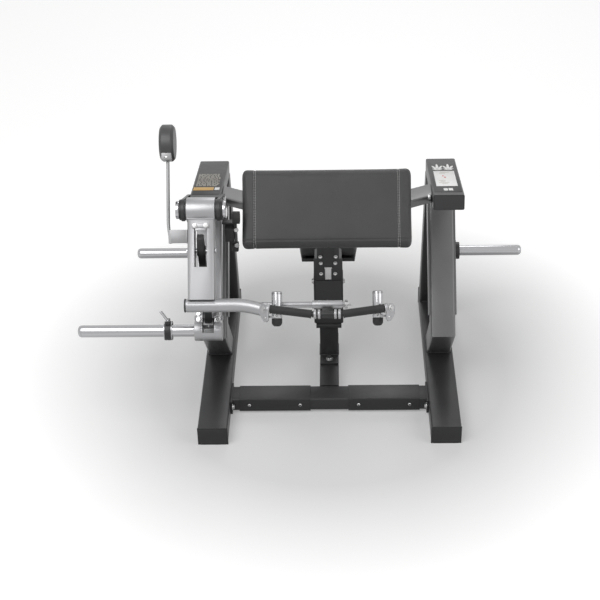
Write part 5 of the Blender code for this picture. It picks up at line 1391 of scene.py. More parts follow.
@dataclass
class Yoke(Group):
    """The swivelling yoke: sleeve, hanger, bowed core, grips and handles.

    Its coordinates: X from its middle, -Y towards the user's hands, -Z down the lever.
    """

    body: ClassVar[Body] = Body.YOKE
    sleeve_half: float = 0.056
    sleeve_radii: tuple[float, float] = (0.0113, 0.0152)
    hanger_width: float = 0.046
    hanger_height: float = 0.024
    hanger_foot: Triple = (0.040, 0.016, 0.034)
    forward: float = 0.072
    inner_drop: float = 0.036
    outer_drop: float = 0.016
    inner_x: float = 0.054
    outer_x: float = 0.211
    ring_places: tuple[float, ...] = (0.0300, 0.0450)
    ring_half: float = 0.0047
    ring_radii: tuple[float, float] = (0.010, 0.0178)
    core_radius: float = 0.0118
    thin_core_radius: float = 0.0100
    grip_radius: float = 0.0152
    grip_rim: float = 0.0012
    post_x: float = 0.186
    post_radius: float = 0.0190
    post_rise: float = 0.048
    post_drop: float = 0.050
    post_gap: float = 0.0013
    splay: float = math.radians(48)
    end_radii: tuple[float, float] = (0.009, 0.0186)
    plate_gap: float = 0.0205
    plate_thickness: float = 0.008
    plate_outline: tuple[tuple[float, float], ...] = (
        (0.021, -0.020), (0.000, -0.046), (-0.012, -0.048), (-0.021, -0.042), (-0.021, 0.012),
        (-0.010, 0.0178), (0.010, 0.0178), (0.021, 0.006))
    plate_bolt: BoltSize = (0.0085, 0.005, 0.0125)
    plate_screw: tuple[float, float] = (0.0055, 0.003)
    plate_screw_place: tuple[float, float] = (-0.008, -0.032)
    strap_height: float = -0.0445
    strap_size: tuple[float, float] = (0.022, 0.008)
    boss: tuple[float, ...] = (0, 0.006, 0.0045, 0.0095, 0.0008)
    boss_screw: tuple[float, float] = (0.0050, 0.004)
    boss_drop: float = 0.024

    def build(self, dresser: Dresser, layout: Layout) -> None:
        """Make the yoke's pieces.

        Args:
            dresser: makes the pieces.
            layout: gives the yoke's frame.
        """
        self.start(dresser, layout.yoke)
        sleeve = ring(-self.sleeve_half, self.sleeve_half, *self.sleeve_radii, 0.0012, 56)
        sleeve += ring(-0.003, 0.003, 0.0145, 0.0160, 0.0004, 56)
        self.piece("yoke_sleeve", sleeve, SILVER, "grip_yoke")
        middle = (0, -self.forward, -self.inner_drop)
        hanger = plate_box((self.hanger_width, self.forward + 0.018, self.hanger_height),
                           (0, -self.forward / 2, -0.039), 0.003)
        hanger += plate_box(self.hanger_foot, (0, 0.001, -0.030), 0.002)
        hanger += rod(-self.inner_x - 0.002, self.inner_x + 0.002, self.core_radius).at(middle)
        self.piece("yoke_hanger", hanger, BLACK_COAT)
        rings = total(ring(place - self.ring_half, place + self.ring_half, *self.ring_radii, 0.0016)
                      for spot in self.ring_places for place in (-spot, spot))
        self.piece("yoke_rings", rings.at(middle), SILVER)
        for side, sign in SIDES:
            bend = np.array((sign * self.inner_x, -self.forward, -self.inner_drop))
            run = np.array((sign * (self.outer_x - self.inner_x), 0, self.inner_drop - self.outer_drop))
            self._grip(side, aim(run, bend), float(np.linalg.norm(run)))
            self._end_plate(side, sign, aim(run, bend + run), bend + run)
            self._handle(side, sign, bend + run)

    @property
    def post_y(self) -> float:
        """Where the handles' axes lie: just behind the grips."""
        return -self.forward + self.grip_radius + self.post_radius + self.post_gap

    def _grip(self, side: str, along: Matrix, length: float) -> None:
        """One grip: its core, and rubber with a rim at each end.

        Args:
            side: left or right.
            along: the grip's place, with +X along it.
            length: its length.
        """
        core = rod(0, length + 0.010, self.thin_core_radius)
        self.piece(side + "_grip_core", core.placed(along), BLACK_COAT)
        radius, rim = self.grip_radius, self.grip_radius + self.grip_rim
        profile = [(0.004, 0, 0), (0.004, rim, 0.0010), (0.008, rim, 0.0006), (0.0095, radius, 0.0006),
                   (length - 0.0065, radius, 0.0006), (length - 0.005, rim, 0.0006),
                   (length - 0.001, rim, 0.0010), (length - 0.001, 0, 0)]
        self.piece(side + "_grip_rubber", lathe(fillet(profile, 3), 56).placed(along), RUBBER,
                   side + "_grip")

    def _end_plate(self, side: str, sign: int, along: Matrix, end: np.ndarray) -> None:
        """A grip's end ring, its splayed plate, the strap to the handle, and two screws.

        Args:
            side: left or right.
            sign: -1 or 1.
            along: the place of the grip's end.
            end: that end's point.
        """
        plate = ring(0.0008, 0.0115, *self.end_radii, 0.0014).placed(along)
        spot = (sign * (abs(end[0]) + self.plate_gap), end[1], end[2])
        facing = Matrix.Translation(spot) @ Matrix.Rotation(-sign * self.splay, 4, "Z")
        plate += slab(self.plate_outline, self.plate_thickness, 0.0012).placed(facing)
        span = abs(end[0]) + 0.010 - self.post_x
        middle = (sign * (self.post_x + span / 2), self.post_y - 0.010, self.strap_height)
        plate += plate_box((span, *self.strap_size), middle)
        self.piece(side + "_end_plate", plate, SILVER)
        face, outwards = sign * self.plate_thickness / 2, (sign, 0, 0)
        screws = hex_bolt(*self.plate_bolt).placed(facing @ aim(outwards, (face, 0, 0)))
        screws += cap_screw(*self.plate_screw).placed(
            facing @ aim(outwards, (face, *self.plate_screw_place)))
        self.piece(side + "_end_bolts", screws, ZINC)

    def _handle(self, side: str, sign: int, end: np.ndarray) -> None:
        """One upright handle: its tube, top plug, rubber knob and the bolt through it.

        Args:
            side: left or right.
            sign: -1 or 1.
            end: the point where the grip ends.
        """
        turn = Matrix.Rotation(-math.pi / 2, 4, "Y")
        upright = Matrix.Translation((sign * self.post_x, self.post_y, 0)) @ turn
        rise, low, radius = self.post_rise, -self.post_drop - 0.0003, self.post_radius
        tube = rod(-self.post_drop, rise - 0.002, radius, 0.0012, 64)
        self.piece(side + "_post", tube.placed(upright), STEEL, side + "_handle_post")
        plug = rod(rise - 0.0035, rise, radius - 0.0012, 0.0010)
        plug += ring(rise - 0.0085, rise - 0.0065, radius - 0.001, radius + 0.0004, 0.0003)
        self.piece(side + "_post_plug", plug.placed(upright), PLASTIC)
        profile = [(low, 0, 0), (low, radius, 0.0006), (low - 0.003, radius + 0.0006, 0.0006),
                   (low - 0.020, radius + 0.0004, 0.005), (low - 0.029, radius * 0.62, 0.004),
                   (low - 0.030, 0, 0)]
        self.piece(side + "_post_knob", lathe(fillet(profile, 5), 56).placed(upright), RUBBER,
                   side + "_post_cap")
        boss = ring(*self.boss) + cap_screw(*self.boss_screw)
        spot = (sign * self.post_x, self.post_y - radius + 0.001, end[2] - self.boss_drop)
        self.piece(side + "_post_bolt", boss.placed(aim(FORWARD, spot)), ZINC)


@dataclass
class WeightGroup(Group):
    """The weight arm with its plate horn and collar, and the rod that moves it.

    The arm's coordinates: X from its middle, -Y forwards, -Z down the arm. The horn's:
    X from the machine's middle, the rest from the horn's axis. Places of the rod are
    measured from its pin, which is at the top.
    """

    body: ClassVar[Body] = Body.WEIGHT_ARM
    depth: float = 0.060
    reach: float = 0.481
    hub_radius: float = 0.0413
    hub_width: float = 0.1072
    hub_bore: float = 0.020
    fork_gap: float = 0.046
    fork_screw: BoltSize = (0.0080, 0.005, 0.0105)
    screw_x: float = 0.0365
    screw_drops: tuple[float, ...] = (0.420, 0.443)
    round_sides: int = 72
    horn_radius: float = 0.0240
    horn_groove: float = 0.0006
    horn_start: float = -0.5208
    horn_tip: float = -0.981
    collar_x: float = -0.625
    collar_radius: float = 0.038
    collar_width: float = 0.032
    collar_bore_gap: float = 0.0004
    rib_span: float = 0.008
    rib_half: float = 0.0008
    rim_width: float = 0.0035
    ear_size: Triple = (0.016, 0.005, 0.014)
    ear_y: float = 0.0125
    lever_lean: float = math.radians(29.0)
    lever_length: float = 0.052
    lever_radius: float = 0.0055
    lever_hinge: tuple[float, float] = (0.0095, 0.0075)
    lever_root: float = 0.0085
    rod_width: float = 0.027
    rod_depth: float = 0.030
    rod_rise: float = 0.072
    tip_length: float = 0.026
    tip_cap: float = 0.030
    eye_radii: tuple[float, float] = (0.0073, 0.0190)
    clevis_rise: float = 0.006
    clevis_size: Triple = (0.0410, 0.036, 0.026)
    clevis_roll: tuple[float, float] = (0.0200, 0.0160)
    clevis_screw: tuple[float, float] = (0.0055, 0.003)

    def build(self, dresser: Dresser, layout: Layout) -> None:
        """Make the group's pieces.

        Args:
            dresser: makes the pieces.
            layout: gives the arm's, the rod's and the horn's frames.
        """
        self.start(dresser, layout.arm)
        self._arm()
        self.start(dresser, layout.horn)
        self._horn()
        self._collar()
        self.start(dresser, layout.rod)
        self._rod(layout.rod_length)

    def _arm(self) -> None:
        """The tube's eased copy, and rims and screws at its forked hub."""
        self.dresser.eased("weight_arm", SILVER, self.body, 0.0010)
        rims = total(mirrored_ring(hand, self.fork_gap / 2 + 0.0015, self.hub_width / 2, self.hub_bore,
                                   self.hub_radius, 0.0020, self.round_sides) for hand in (-1, 1))
        self.piece("hub_rims", rims.at((0, 0, -self.reach)), SILVER)
        screws = total(hex_bolt(*self.fork_screw).placed(
            aim(FORWARD, (hand * self.screw_x, -self.depth / 2, -drop)))
            for hand in (-1, 1) for drop in self.screw_drops)
        self.piece("fork_screws", screws, ZINC)

    def _horn(self) -> None:
        """The plated horn with its seat ring and rounded, capped tip."""
        start, tip, radius = self.horn_start, self.horn_tip, self.horn_radius
        groove = radius - self.horn_groove
        profile = [(start + 0.012, 0, 0), (start + 0.012, radius * 0.6, 0), (start, radius * 0.6, 0),
                   (start, radius, 0.0010), (tip + 0.0155, radius, 0.0006), (tip + 0.0152, groove, 0.0002),
                   (tip + 0.0142, groove, 0.0002), (tip + 0.0138, radius, 0.0006),
                   (tip + 0.004, radius * 0.86, 0.005), (tip, radius * 0.5, 0.004), (tip, 0, 0)]
        self.piece("plate_horn", lathe(fillet(profile, 5), 80), STEEL, "weight_horn")

    def _collar(self) -> None:
        """The plate collar: a ribbed body between two plated rims, and its cam lever."""
        half, inner = self.collar_width / 2, self.horn_radius + self.collar_bore_gap
        place = (self.collar_x, 0, 0)
        collar = ring(-half + 0.003, half - 0.003, inner, self.collar_radius - 0.0008, 0.0010, 72)
        for rib in np.linspace(-self.rib_span, self.rib_span, 5):
            collar += ring(rib - self.rib_half, rib + self.rib_half, inner + 0.004, self.collar_radius,
                           0.0004, self.round_sides)
        for hand in (-1, 1):
            collar += plate_box(self.ear_size, (0, hand * self.ear_y, self.collar_radius + 0.004), 0.001)
        self.piece("collar_body", collar.at(place), PLASTIC, "weight_collar", body=Body.COLLAR)
        outer = self.collar_radius - 0.0004
        rims = total(mirrored_ring(hand, half - self.rim_width, half, inner, outer, 0.0010,
                                   self.round_sides) for hand in (-1, 1))
        self.piece("collar_rims", rims.at(place), STEEL, body=Body.COLLAR)
        root = (self.collar_x, 0, self.collar_radius + self.lever_root)
        lean = (-math.sin(self.lever_lean), 0, math.cos(self.lever_lean))
        handle = rod(0, self.lever_length, self.lever_radius, 0.0022).placed(aim(lean, root))
        reach, radius = self.lever_hinge
        handle += rod(-reach, reach, radius, 0.0008).placed(aim((0, 1, 0), root))
        self.piece("collar_cam_lever", handle, STEEL, "collar_lever", body=Body.COLLAR_LEVER)

    def _rod(self, length: float) -> None:
        """The connecting rod: a flat bar with an eye, a plated tip and a clevis at its foot.

        Args:
            length: from the rod's pin to its foot.
        """
        width, depth = self.rod_width, self.rod_depth
        top = self.rod_rise - self.tip_length
        bar = plate_box((width, depth, length + top), (0, 0, (top - length) / 2), 0.0030)
        for hand in (-1, 1):
            bar += mirrored_ring(hand, width / 2 - 0.001, width / 2 + 0.0025, *self.eye_radii, 0.001)
        self.piece("rod_bar", bar, BLACK_COAT, "link_rod", body=Body.ROD)
        tip = plate_box((width - 0.001, depth - 0.001, self.tip_cap),
                        (0, 0, self.rod_rise - 0.0155), 0.0035)
        self.piece("rod_tip", tip, GRAPHITE, body=Body.ROD)
        clevis = plate_box(self.clevis_size, (0, -0.002, self.clevis_rise - length), 0.0025)
        reach, radius = self.clevis_roll
        clevis += rod(-reach, reach, radius, 0.0012).at((0, 0, -length))
        self.piece("rod_clevis", clevis, SILVER, body=Body.ROD)
        spot = (0, -0.0198, self.clevis_rise - length)
        screw = cap_screw(*self.clevis_screw).placed(aim(FORWARD, spot))
        self.piece("rod_clevis_screw", screw, ZINC, body=Body.ROD)


@dataclass
class Fittings(Group):
    """Bolts, welds, caps, storage horns and the stop beside the pad.

    Places are measured from the datum, and on the beams from the top of their front edge.
    Plates are rows of size, place and edge, and weld frames are rows of place along Y,
    half size across, half size along, and height.
    """

    rail_x: float = 0.467
    rail_size: tuple[float, float] = (0.120, 0.083)
    cap_places: tuple[float, ...] = (0.0004, 1.0102)
    leg_welds: WeldRows = ((0.563, 0.050, 0.0600, 0.0838), (0.936, 0.0585, 0.0413, 0.0838))
    column_welds: WeldRows = ((0.539, 0.0393, 0.0393, 0.2268), (0.539, 0.0393, 0.0393, 0.0798))
    flange_x: float = 0.3987
    member_y: float = 0.250
    member_half: float = 0.045
    member_z: float = 0.040
    cover_bolts: tuple[float, ...] = (-0.330, -0.120, 0.120, 0.330)
    foot_bolt: Triple = (0, 0.470, 0.0793)
    sleeve_bolt: Triple = (0.061, 0.519, 0.4433)
    bracket_face: float = 0.4925
    bracket_foot: float = 0.4623
    bracket_bolts: tuple[tuple[float, float], ...] = ((0.0290, 0.033), (0.0295, 0.084), (0.0315, 0.115))
    cheek_gap: float = 0.0123
    cheek_bolts: tuple[tuple[float, float], ...] = ((0.012, 0.018), (0.026, 0.044))
    flange_gap: float = 0.0083
    flange_bolts: tuple[tuple[float, float], ...] = ((0.0746, 0.0305), (0.1786, 0.0305))
    storage: Triple = (0.5273, 0.862, 0.372)
    storage_tip: float = 0.8386
    storage_radius: float = 0.0225
    storage_cup: float = 0.0423
    storage_stud_z: float = 0.046
    stop_plates: PlateRows = (((0.007, 0.052, 0.100), (-0.345, 0.205, 0.868), 0.0012),
                              ((0.050, 0.026, 0.007), (-0.371, 0.215, 0.912), 0.0012))
    stop_knob: Triple = (-0.341, 0.200, 0.940)
    stop_pads: PlateRows = (((0.036, 0.040, 0.058), (-0.3685, 0.200, 0.872), 0.0040),
                            ((0.026, 0.036, 0.028), (-0.350, 0.200, 0.812), 0.0035))
    stop_screws: tuple[Triple, ...] = ((-0.341, 0.172, 0.902), (-0.341, 0.172, 0.834))

    def build(self, dresser: Dresser, layout: Layout) -> None:
        """Make the fittings.

        Args:
            dresser: makes the pieces.
            layout: gives the datum and the beams' frames.
        """
        self.start(dresser, Matrix.Translation(layout.datum))
        self._member_bolts()
        self._seat_bolts()
        self._beam_bolts(layout)
        self._welds()
        self._caps(layout)
        for side, sign in SIDES:
            self._storage(side, sign)
        self._stop()

    def _bolts(self, name: str, spots: Iterable[tuple[Triple, Triple]], radius: float,
               body: Body | None = None, place: Matrix | None = None, finish: Finish = ZINC) -> None:
        """Make washered hexagon bolts as one piece.

        Args:
            name: the piece's name.
            spots: a place and a direction for each bolt.
            radius: corner radius of the heads.
            body: what they ride on, where that isn't the frame.
            place: where they are drawn, where that isn't from the datum.
            finish: their material.
        """
        heads = total(hex_bolt(radius, radius * 0.62, radius * 1.34).placed(aim(way, spot))
                      for spot, way in spots)
        self.piece(name, heads, finish, body=body, place=place)

    def _member_bolts(self) -> None:
        """Bolts of the cross member's flanges, covers and foot plate."""
        y, half, z = self.member_y, self.member_half, self.member_z
        spots = [((sign * self.flange_x, y + hand * (half + 0.011), z), (-sign, 0, 0))
                 for sign in (-1, 1) for hand in (-1, 1)]
        self._bolts("flange_bolts", spots, 0.0105)
        screws = total(cap_screw(0.0068, 0.0038).placed(aim(FORWARD, (x, y - half - 0.0024, z)))
                       for x in self.cover_bolts)
        # The cover screws take the lighter zinc copy: painted light.
        self.piece("cover_screws", screws, LIT_ZINC)
        self._bolts("foot_plate_bolt", [(self.foot_bolt, (0, 0, 1))], 0.0125)

    def _seat_bolts(self) -> None:
        """Bolts at the sleeve's sides, which stay, and on the bracket, which slides."""
        x, y, z = self.sleeve_bolt
        self._bolts("sleeve_bolts", [((sign * x, y, z), (sign, 0, 0)) for sign in (-1, 1)], 0.0100)
        spots = [((sign * across, self.bracket_face, self.bracket_foot + rise), FORWARD)
                 for sign in (-1, 1) for across, rise in self.bracket_bolts]
        # The bracket bolts take the lighter zinc copy: painted light.
        self._bolts("bracket_bolts", spots, 0.0056, Body.SEAT, finish=LIT_ZINC)

    def _beam_bolts(self, layout: Layout) -> None:
        """Bolts of the fork cheeks and of the arm flanges, in the beams' coordinates.

        Args:
            layout: gives the beams' frames.
        """
        cheek = layout.beam_width / 2 + self.cheek_gap
        spots = [((sign * cheek, along, -drop), (sign, 0, 0))
                 for sign in (-1, 1) for along, drop in self.cheek_bolts]
        self._bolts("cheek_bolts", spots, 0.0100, place=layout.beam(-1))
        face = layout.beam_width / 2 + self.flange_gap
        for side, sign in SIDES:
            spots = [((-sign * face, along, -drop), (-sign, 0, 0)) for along, drop in self.flange_bolts]
            self._bolts(side + "_arm_flange_bolts", spots, 0.0098, place=layout.beam(sign))

    def _welds(self) -> None:
        """Beads round the feet of the legs, and round the column's flange and foot."""
        for side, sign in SIDES:
            self._frames(side + "_foot_welds", sign * self.rail_x, self.leg_welds, 0.0030)
        self._frames("column_welds", 0.0, self.column_welds, 0.0026)

    def _frames(self, name: str, x: float, rows: WeldRows, radius: float) -> None:
        """Beads round level rectangles, as one piece.

        Args:
            name: the piece's name.
            x: the rectangles' middle across.
            rows: the rectangles.
            radius: the beads' radius.
        """
        signs = np.array(((-1, -1), (1, -1), (1, 1), (-1, 1)), dtype=float)
        paths = [np.column_stack([signs * (across, along) + (x, y), np.full(4, z)])
                 for y, across, along, z in rows]
        self.piece(name, total(bead(path, radius, closed=True) for path in paths), GRAPHITE)

    def _caps(self, layout: Layout) -> None:
        """Raised panels on the rails' caps and a welded plate in each beam's front end.

        Args:
            layout: gives the beams' frames.
        """
        width, height = self.rail_size
        size = (width - 0.016, 0.0030, height - 0.018)
        end = plate_box((layout.beam_width - 0.010, 0.0024, 0.051), (0, 0.0003, -0.0305), 0.001)
        for side, sign in SIDES:
            panels = total(plate_box(size, (sign * self.rail_x, y, height / 2 + 0.002), 0.0012)
                           for y in self.cap_places)
            self.piece(side + "_cap_panels", panels, PLASTIC)
            self.piece(side + "_beam_end_plate", end, GRAPHITE, place=layout.beam(sign))

    def _storage(self, side: str, sign: int) -> None:
        """A storage horn with its flange's cover ring and bolts.

        Args:
            side: left or right.
            sign: -1 or 1.
        """
        face, y, z = self.storage
        radius, tip, start = self.storage_radius, self.storage_tip, face + self.storage_cup
        profile = fillet([(start, 0, 0), (start, radius, 0.0008), (tip - 0.0145, radius, 0.0006),
                          (tip - 0.004, radius * 0.86, 0.005), (tip, radius * 0.5, 0.004), (tip, 0, 0)], 5)
        horn = lathe([(sign * x, r) for x, r in profile], 72).at((0, y, z))
        self.piece(side + "_storage_bar", horn, STEEL, side + "_storage_horn")
        cup = mirrored_ring(sign, face + 0.008, start - 0.0003, 0.0231, 0.0374, 0.0030, 72)
        self.piece(side + "_storage_cup", cup.at((0, y, z)), PLASTIC)
        heights = (z - self.storage_stud_z, z + self.storage_stud_z)
        studs = total(rod(0, 0.018, 0.0065).placed(aim((sign, 0, 0), (sign * (face + 0.0081), y, height)))
                      for height in heights)
        self.piece(side + "_storage_studs", studs, BLACK_COAT)
        spots = [((sign * (face + 0.008), y, height), (sign, 0, 0)) for height in heights]
        self._bolts(side + "_storage_nuts", spots, 0.0092, finish=BLACK_COAT)

    def _stop(self) -> None:
        """The padded stop beside the arm pad: a plate, a knob, a buffer and a foot."""
        self.piece("stop_plate", total(plate_box(*row) for row in self.stop_plates), GRAPHITE)
        knob = rod(-0.014, 0.014, 0.0240, 0.0030, 56).at(self.stop_knob)
        pads = total(plate_box(*row) for row in self.stop_pads)
        self.piece("stop_buffers", knob + pads, RUBBER)
        self._bolts("stop_screws", [(spot, FORWARD) for spot in self.stop_screws], 0.0065)


@dataclass
class Prints(Group):
    """Generic placards on the beams: plain rows, bars and signs, without any lettering.

    Places are the beam top's: X across from its middle, Y back from its front edge.
    """

    lift: float = 0.0008
    film: Area = (-0.053, 0.053, 0.036, 0.420)
    rows: Area = (-0.047, 0.043, 0.136, 0.300)
    row_count: int = 11
    amber: Area = (-0.053, 0.026, 0.086, 0.124)
    tail: Area = (0.030, 0.049, 0.090, 0.120)
    card: Area = (-0.041, 0.042, 0.107, 0.303)
    foot_bars: tuple[Area, ...] = ((-0.016, 0.000, 0.052, 0.080), (0.003, 0.020, 0.052, 0.080))
    grey_rows: tuple[float, ...] = (0.284, 0.270, 0.176, 0.162, 0.148, 0.134)
    red_marks: tuple[Area, ...] = ((-0.004, 0.004, 0.214, 0.224), (-0.010, -0.004, 0.232, 0.242))
    dash_gap: float = 0.0028
    dash_length: tuple[float, float] = (0.006, 0.020)
    signs: tuple[float, ...] = (-0.022, 0.022)
    sign_base: float = 0.318
    leaves: tuple[tuple[int, float], ...] = ((-68, 0.011), (-36, 0.0175), (0, 0.020), (36, 0.0175),
                                             (68, 0.011))
    leaf_width: float = 0.26
    leaf_stretch: float = 2.0
    film_thickness: float = 0.0006

    def build(self, dresser: Dresser, layout: Layout) -> None:
        """Lay the films and their marks on both beams.

        Args:
            dresser: makes the pieces.
            layout: gives the beams' frames.
        """
        for side, sign in SIDES:
            self.start(dresser, layout.beam(sign))
            self._mark(side + "_film", [self.film], CARD_BLACK, 0.0, side + "_placard")
            if sign < 0:
                self._mark("rows_of_marks", self._dashes(), CARD_BEIGE, self.lift)
                self._mark("amber_strip", [self.amber], CARD_AMBER, self.lift)
                self._mark("amber_strip_tail", [self.tail], CARD_WHITE, self.lift)
            else:
                self._mark("white_card", [self.card], CARD_WHITE, self.lift)
                self._mark("white_bars", self.foot_bars, CARD_WHITE, self.lift)
                self._mark("card_greys", self._sketch(), CARD_BEIGE, self.lift * 1.6)
                self._mark("card_reds", self.red_marks, CARD_RED, self.lift * 1.6)
                self._signs()

    def _mark(self, name: str, areas: Iterable[Area], finish: Finish, height: float, *nodes: str) -> None:
        """Lay thin rectangles over the beam.

        Args:
            name: the piece's name.
            areas: x from, x to, y from and y to of each rectangle.
            finish: their material.
            height: how far they lie over the beam.
            nodes: CAD nodes that they stand for.
        """
        chips = total(block((x1 - x0, y1 - y0, self.film_thickness), 0.0002, 1).at(
            ((x0 + x1) / 2, (y0 + y1) / 2, height + 0.0005)) for x0, x1, y0, y1 in areas)
        self.piece(name, chips, finish, *nodes)

    def _dashes(self) -> list[Area]:
        """Rows of short dashes of uneven length, like a page seen from afar."""
        draw = np.random.default_rng(11)
        low, high, near, far = self.rows
        pitch = (far - near) / self.row_count
        areas = []
        for row in range(self.row_count):
            y = near + (row + 0.5) * pitch
            x = low
            while x < high - self.dash_length[0]:
                end = min(high, x + draw.uniform(*self.dash_length))
                areas.append((x, end, y - pitch * 0.22, y + pitch * 0.22))
                x = end + self.dash_gap
        return areas

    def _sketch(self) -> list[Area]:
        """A few faint grey dashes on the white card."""
        draw = np.random.default_rng(5)
        greys = []
        for y in self.grey_rows:
            x = -0.018 + draw.uniform(-0.010, 0.006)
            greys.append((x, x + draw.uniform(0.018, 0.040), y, y + 0.0035))
        return greys

    def _signs(self) -> None:
        """Two signs of five leaves, each an ellipse fanned out from a common foot."""
        angle = np.linspace(0, TAU, 20, endpoint=False)
        stretch = Matrix.Diagonal((1.0, self.leaf_stretch, 1.0, 1.0))
        leaves = []
        for x, (lean, length) in itertools.product(self.signs, self.leaves):
            outline = length * np.column_stack([1 + np.cos(angle), self.leaf_width * np.sin(angle)])
            leaf = slab(outline.tolist(), self.film_thickness, 0.0001).placed(aim((0, 0, 1)))
            turn = Matrix.Rotation(math.radians(lean) + self._upright(), 4, "Z")
            leaves.append(leaf.placed(stretch @ turn).at((x, self.sign_base, self.lift + 0.0005)))
        self.piece("leaf_signs", total(leaves), CARD_WHITE)

    @staticmethod
    def _upright() -> float:
        """The turn that points a leaf, drawn along the slab's first axis, up the beam."""
        along = aim((0, 0, 1)) @ Vector((0, 1, 0))
        return math.pi / 2 - math.atan2(along.y, along.x)


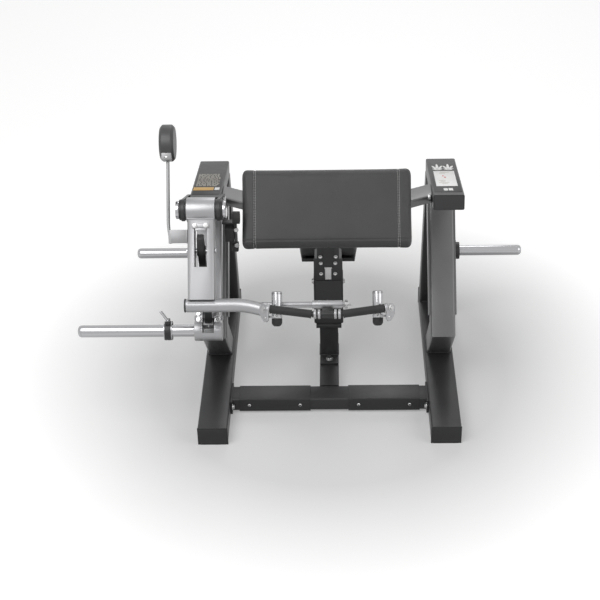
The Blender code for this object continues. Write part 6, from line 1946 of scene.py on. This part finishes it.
@dataclass
class Studio:
    """A pale floor, soft lights and the camera of the photograph."""

    lens: float = 84.0
    sensor: float = 36.0
    shift: tuple[float, float] = (-0.01, -0.0083)
    stand: Triple = (0.0444, -4.3414, 3.6188)
    yaw: float = math.radians(1.633)
    pitch: float = math.radians(33.72)
    roll: float = math.radians(-1.42)
    floor_size: float = 60.0
    floor_grey: float = 0.55
    middle_y: float = 0.5
    # The floor glows less near the machine, a painted shade, and rises to white between these distances.
    painted_shade_radii: tuple[float, float] = (0.75, 1.4)
    painted_shade_glow: tuple[float, float] = (0.26, 0.70)
    aim_at: Triple = (0.0, 0.0, 0.5)
    lamps: tuple[tuple[str, Triple, float, float], ...] = (
        ("key_light", (-1.6, -2.2, 4.2), 3.0, 112.0), ("fill_light", (3.2, -1.6, 2.6), 2.6, 34.0),
        ("rear_light", (0.4, 4.4, 4.4), 2.0, 44.0))

    def build(self, datum: Vector) -> None:
        """Make the floor, the world, the lamps and the camera.

        Args:
            datum: where the front end of the floor rails is, midway between them.
        """
        bpy.context.scene.view_settings.view_transform = "Standard"
        self._camera(datum)
        self._floor(datum)
        self._world()
        for lamp in self.lamps:
            self._lamp(*lamp)

    def _camera(self, datum: Vector) -> None:
        """The camera, level but for a small roll, looking down at the machine.

        Args:
            datum: what its place is measured from.
        """
        data = bpy.data.cameras.new("camera")
        data.lens = self.lens
        data.sensor_width = self.sensor
        data.shift_x, data.shift_y = self.shift
        data.clip_end = 100.0
        camera = linked("camera", data)
        forward = Vector((-math.sin(self.yaw) * math.cos(self.pitch),
                          math.cos(self.yaw) * math.cos(self.pitch), -math.sin(self.pitch)))
        right = Vector((math.cos(self.yaw), math.sin(self.yaw), 0))
        up = right.cross(forward)
        across = math.cos(self.roll) * right + math.sin(self.roll) * up
        rise = -math.sin(self.roll) * right + math.cos(self.roll) * up
        turn = Matrix((across, rise, -forward)).transposed().to_4x4()
        camera.matrix_world = Matrix.Translation(Vector(self.stand) + datum) @ turn
        bpy.context.scene.camera = camera

    def _floor(self, datum: Vector) -> None:
        """A wide pale floor that keeps soft shadows; its glow is low near the machine, a painted shade
        round it, and rises to white away from it.

        Args:
            datum: where the machine stands.
        """
        half = self.floor_size / 2
        corners = [(-half, -half, 0), (half, -half, 0), (half, half, 0), (-half, half, 0)]
        floor = linked("floor", raw_mesh("floor", Shape(np.array(corners), [np.arange(4)[None, :]])))
        material = bpy.data.materials.new("pale_floor")
        material.use_nodes = True
        graph = Graph(material.node_tree)
        shader = material.node_tree.nodes["Principled BSDF"]
        shader.inputs["Base Color"].default_value = (self.floor_grey, self.floor_grey, self.floor_grey, 1)
        shader.inputs["Roughness"].default_value = 0.6
        shader.inputs["Specular IOR Level"].default_value = 0.1
        direct = self._direct(graph)
        shader.inputs["Emission Color"].default_value = (1, 1, 1, 1)
        centre = (datum.x, datum.y + self.middle_y, 0.0)
        place = graph.add("TexCoord").outputs["Object"]
        away = graph.add("VectorMath", {0: place, 1: centre}, operation="DISTANCE").outputs["Value"]
        # Less glow near the machine: painted shade round it.
        painted_shade_glow = graph.spread(away, *self.painted_shade_radii, *self.painted_shade_glow)
        graph.feed(shader.inputs["Emission Strength"], graph.math("MULTIPLY", direct, painted_shade_glow))
        floor.data.materials.append(material)

    @staticmethod
    def _direct(graph: Graph) -> Any:
        """Whether a ray comes from the camera or a reflection; returns the output."""
        seen = graph.add("LightPath").outputs
        return graph.math("MAXIMUM", seen["Is Camera Ray"], seen["Is Glossy Ray"])

    def _world(self) -> None:
        """Plain white surroundings: bright to the eye and in reflections, soft on the object."""
        world = bpy.data.worlds.new("studio")
        world.use_nodes = True
        bpy.context.scene.world = world
        graph = Graph(world.node_tree)
        background = world.node_tree.nodes["Background"]
        background.inputs["Color"].default_value = (1, 1, 1, 1)
        direct = self._direct(graph)
        graph.feed(background.inputs["Strength"], graph.spread(direct, 0.0, 1.0, 0.20, 1.0))

    def _lamp(self, name: str, place: Triple, size: float, power: float) -> None:
        """Hang a square soft lamp that faces the machine.

        Args:
            name: the lamp's name.
            place: where it hangs.
            size: the length of its sides.
            power: its power in watts.
        """
        data = bpy.data.lights.new(name, "AREA")
        data.shape = "SQUARE"
        data.size = size
        data.energy = power
        lamp = linked(name, data)
        lamp.location = place
        lamp.rotation_euler = (Vector(self.aim_at) - Vector(place)).to_track_quat("-Z", "Y").to_euler()


def find_datum() -> Vector:
    """The middle between the rails, at their front ends and on the floor."""
    left, right = box_of("left_front_cap")[0], box_of("right_front_cap")[1]
    return Vector(((left[0] + right[0]) / 2, left[1], 0.0))


def main() -> None:
    """Dress the machine, sub-assembly by sub-assembly, and light it."""
    logging.basicConfig(level=logging.INFO, format="%(name)s: %(message)s")
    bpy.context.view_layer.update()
    datum = find_datum()
    dresser = Dresser(FinishShop())
    Studio().build(datum)
    layout = Layout(datum)
    FrameWork().build(dresser)
    for group in (LeverGroup(), Yoke(), WeightGroup(), Fittings(), Prints()):
        group.build(dresser, layout)
    Upholstery().build(dresser)


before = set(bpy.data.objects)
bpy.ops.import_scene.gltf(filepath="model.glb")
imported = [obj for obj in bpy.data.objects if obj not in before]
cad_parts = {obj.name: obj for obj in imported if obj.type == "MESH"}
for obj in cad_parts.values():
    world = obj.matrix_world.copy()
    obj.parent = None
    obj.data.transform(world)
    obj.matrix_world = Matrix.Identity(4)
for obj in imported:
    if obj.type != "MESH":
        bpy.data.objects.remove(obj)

if __name__ == "__main__":
    main()
